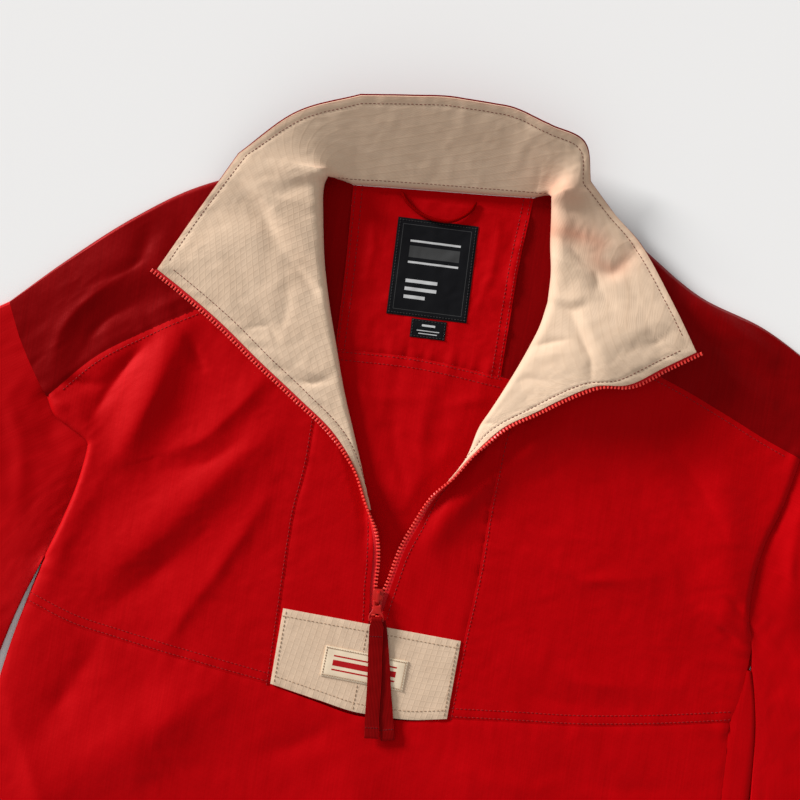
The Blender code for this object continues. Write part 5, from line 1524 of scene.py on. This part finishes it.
# The ribbon's crosswise rows: one above each hem, counted from the end, and one under the bar.
HEM_FROM_END, UNDER_BAR = 9, 36
THREAD_RED, THREAD_DARK = (0.30, 0.001, 0.003, 1), (0.075, 0.001, 0.003, 1)
THREAD_TAN, THREAD_BROWN = (0.42, 0.27, 0.17, 1), (0.20, 0.05, 0.035, 1)
THREAD_GREY = (0.05, 0.05, 0.05, 1)


def thread_material(name, colour):
    tree = new_tree(name)
    spot = node(tree, "ShaderNodeTexCoord")["Object"]
    twist = threads(tree, spot, THREAD_TWIST * MM, 0.5, "DIAGONAL")
    darker = tuple(c * 0.7 for c in colour[:3]) + (1,)
    return finish_material(name, blend_colours(tree, twist, darker, colour), twist, 0.6, 0.05,
                           specular=0.3)


def stitch(long, wide):
    """One stitch: a small bar with rounded ends, lying along the row."""
    shape = bmesh.new()
    bmesh.ops.create_uvsphere(shape, u_segments=6, v_segments=4, radius=0.5 * MM)
    bmesh.ops.scale(shape, vec=(wide, wide, long), verts=shape.verts)
    bmesh.ops.rotate(shape, matrix=Matrix.Rotation(math.pi / 2, 3, "Y"), verts=shape.verts)
    return hidden_piece("stitch", shape)


def upright(line):
    """A row of points, with the way up at each of them."""
    return line, np.tile((0.0, 0.0, 1.0), (len(line), 1))


def beside_line(line, towards, off, skin):
    """A stitch row at a distance beside a seam, on the face that skin gives."""
    row = line + square_to(line, towards) * off
    return upright(np.column_stack([row, skin(row) + SHELL_LIFT]))


def inside_edge(rows, off):
    """A stitch row at a distance inside the collar's outer edge, or off its neck seam if below 0."""
    line, ups = [], []
    for k in range(*rows):
        inside = off if off > 0 else inwards[k, 0] + off
        spots = [np.interp(inside, inwards[k, ::-1], grid[k, ::-1, axis]) for grid in (face, away)
                 for axis in range(3)]
        line.append(spots[:3])
        ups.append(spots[3:])
    line, ups = np.array(line), np.array(ups)
    return line + ups * FINE_LIFT, ups


def across_grid(start, end, skin, count=40, lift=PATCH_LIFT):
    """A straight stitch row, as so many points on the face that skin gives."""
    row = np.linspace(start, end, count)
    return upright(np.column_stack([row, skin(row) + lift]))


def sew(name, lines, colour, body="garment", long=STITCH_LONG, wide=STITCH_WIDE, pitch=STITCH_PITCH):
    one = stitch(long, wide)
    row = set_along(name, lines, one, pitch, thread_material(f"{name}_thread", colour))
    bpy.data.objects.remove(one)
    row.data.shade_smooth()
    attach(row, body)


# The far points only say on which side of its seam a row lies.
red_rows = []
for side, inner in (("left", 1), ("right", -1)):
    red_rows.append(beside_line(seam(side, "yoke_seam", 6)[3:-2], (0, -2000), YOKE_ROW, front_skin))
    red_rows += [beside_line(seam(side, "chest_seam", 6), (0, 4000), off, front_skin) for off in CHEST_ROWS]
    red_rows.append(beside_line(seam(side, "princess", 6)[10:], (-2000 * inner, 0), PRINCESS_ROW, front_skin))
    red_rows.append(upright(zip_rows[side] + (0, 0, SHELL_LIFT)))
    red_rows += [beside_line(seam(side, "back_panel", 8), (2000 * inner, 0), off, back_skin)
                 for off in PANEL_ROWS]
red_rows.append(beside_line(seam("middle", "chest_point", 8), (0, 2000), CHEST_ROWS[1], front_skin))
red_rows += [beside_line(seam("middle", "back_seam", 10), (0, -2000), off, back_skin)
             for off in BACK_SEAM_ROWS]
red_rows.append(beside_line(seam("middle", "hem_front", 4), (0, 2000), HEM_ROW, front_skin))
sew("shell_stitching", red_rows, THREAD_RED)

corner, rows_in_all = CORNER * FINE, len(face)
tan_rows = [inside_edge((corner + 5, rows_in_all - corner - 5), TOP_STITCH),
            inside_edge((6, corner - 2), ZIP_STITCH),
            inside_edge((rows_in_all - corner + 2, rows_in_all - 6), ZIP_STITCH),
            inside_edge((20 * FINE, rows_in_all - 20 * FINE), -BACK_STITCH)]
sew("collar_stitching", tan_rows, THREAD_BROWN)

left_foot, right_foot = np.array(PATCH_FOOT[0]), np.array(PATCH_FOOT[-1])
left_top, right_top = np.array(PATCH_TOP[0]), np.array(PATCH_TOP[-1])
patch_rows = [across_grid(left_foot + (2.6, 3), left_top + (2.6, -3), patch_skin),
              across_grid(right_foot + (-2.6, 3), right_top + (-2.6, -3), patch_skin),
              across_grid(left_top + (1, -5.5), right_top + (-1, -5.5), patch_skin, 90),
              across_grid((-4.6, -24), (-5.6, -82), patch_skin),
              beside_line(smooth(PATCH_FOOT, 40)[1:-1], (0, 2000), 6.5, patch_skin)]
sew("patch_stitching", patch_rows, THREAD_TAN)


def round_label(place, off, skin):
    """Four stitch rows at a distance inside a label's edges."""
    corners = rectangle(place[0], (place[1][0] - 2 * off, place[1][1] - 2 * off), place[2], 2, 2)
    ring = [corners[0, 0], corners[0, 1], corners[1, 1], corners[1, 0], corners[0, 0]]
    return [across_grid(a, b, skin, 24, FINE_LIFT) for a, b in zip(ring, ring[1:])]


sew("label_stitching", round_label(NECK_LABEL, 1.8, back_label_skin)
    + round_label(SIZE_LABEL, 1.2, back_label_skin), THREAD_GREY, long=1.6, wide=0.4,
    pitch=2.2)
sew("patch_label_stitching", round_label(PATCH_LABEL, 1.1, patch_label_skin), THREAD_TAN,
    long=1.5, wide=0.45, pitch=1.9)

hem_rows = [upright(grid[row, 1:-1] + (0, 0, FINE_LIFT)) for grid, row in (
    (front_ribbon, -HEM_FROM_END), (back_ribbon, -HEM_FROM_END), (front_ribbon, UNDER_BAR))]
sew("ribbon_stitching", hem_rows, THREAD_DARK, "pull", long=1.5, wide=0.5, pitch=1.9)
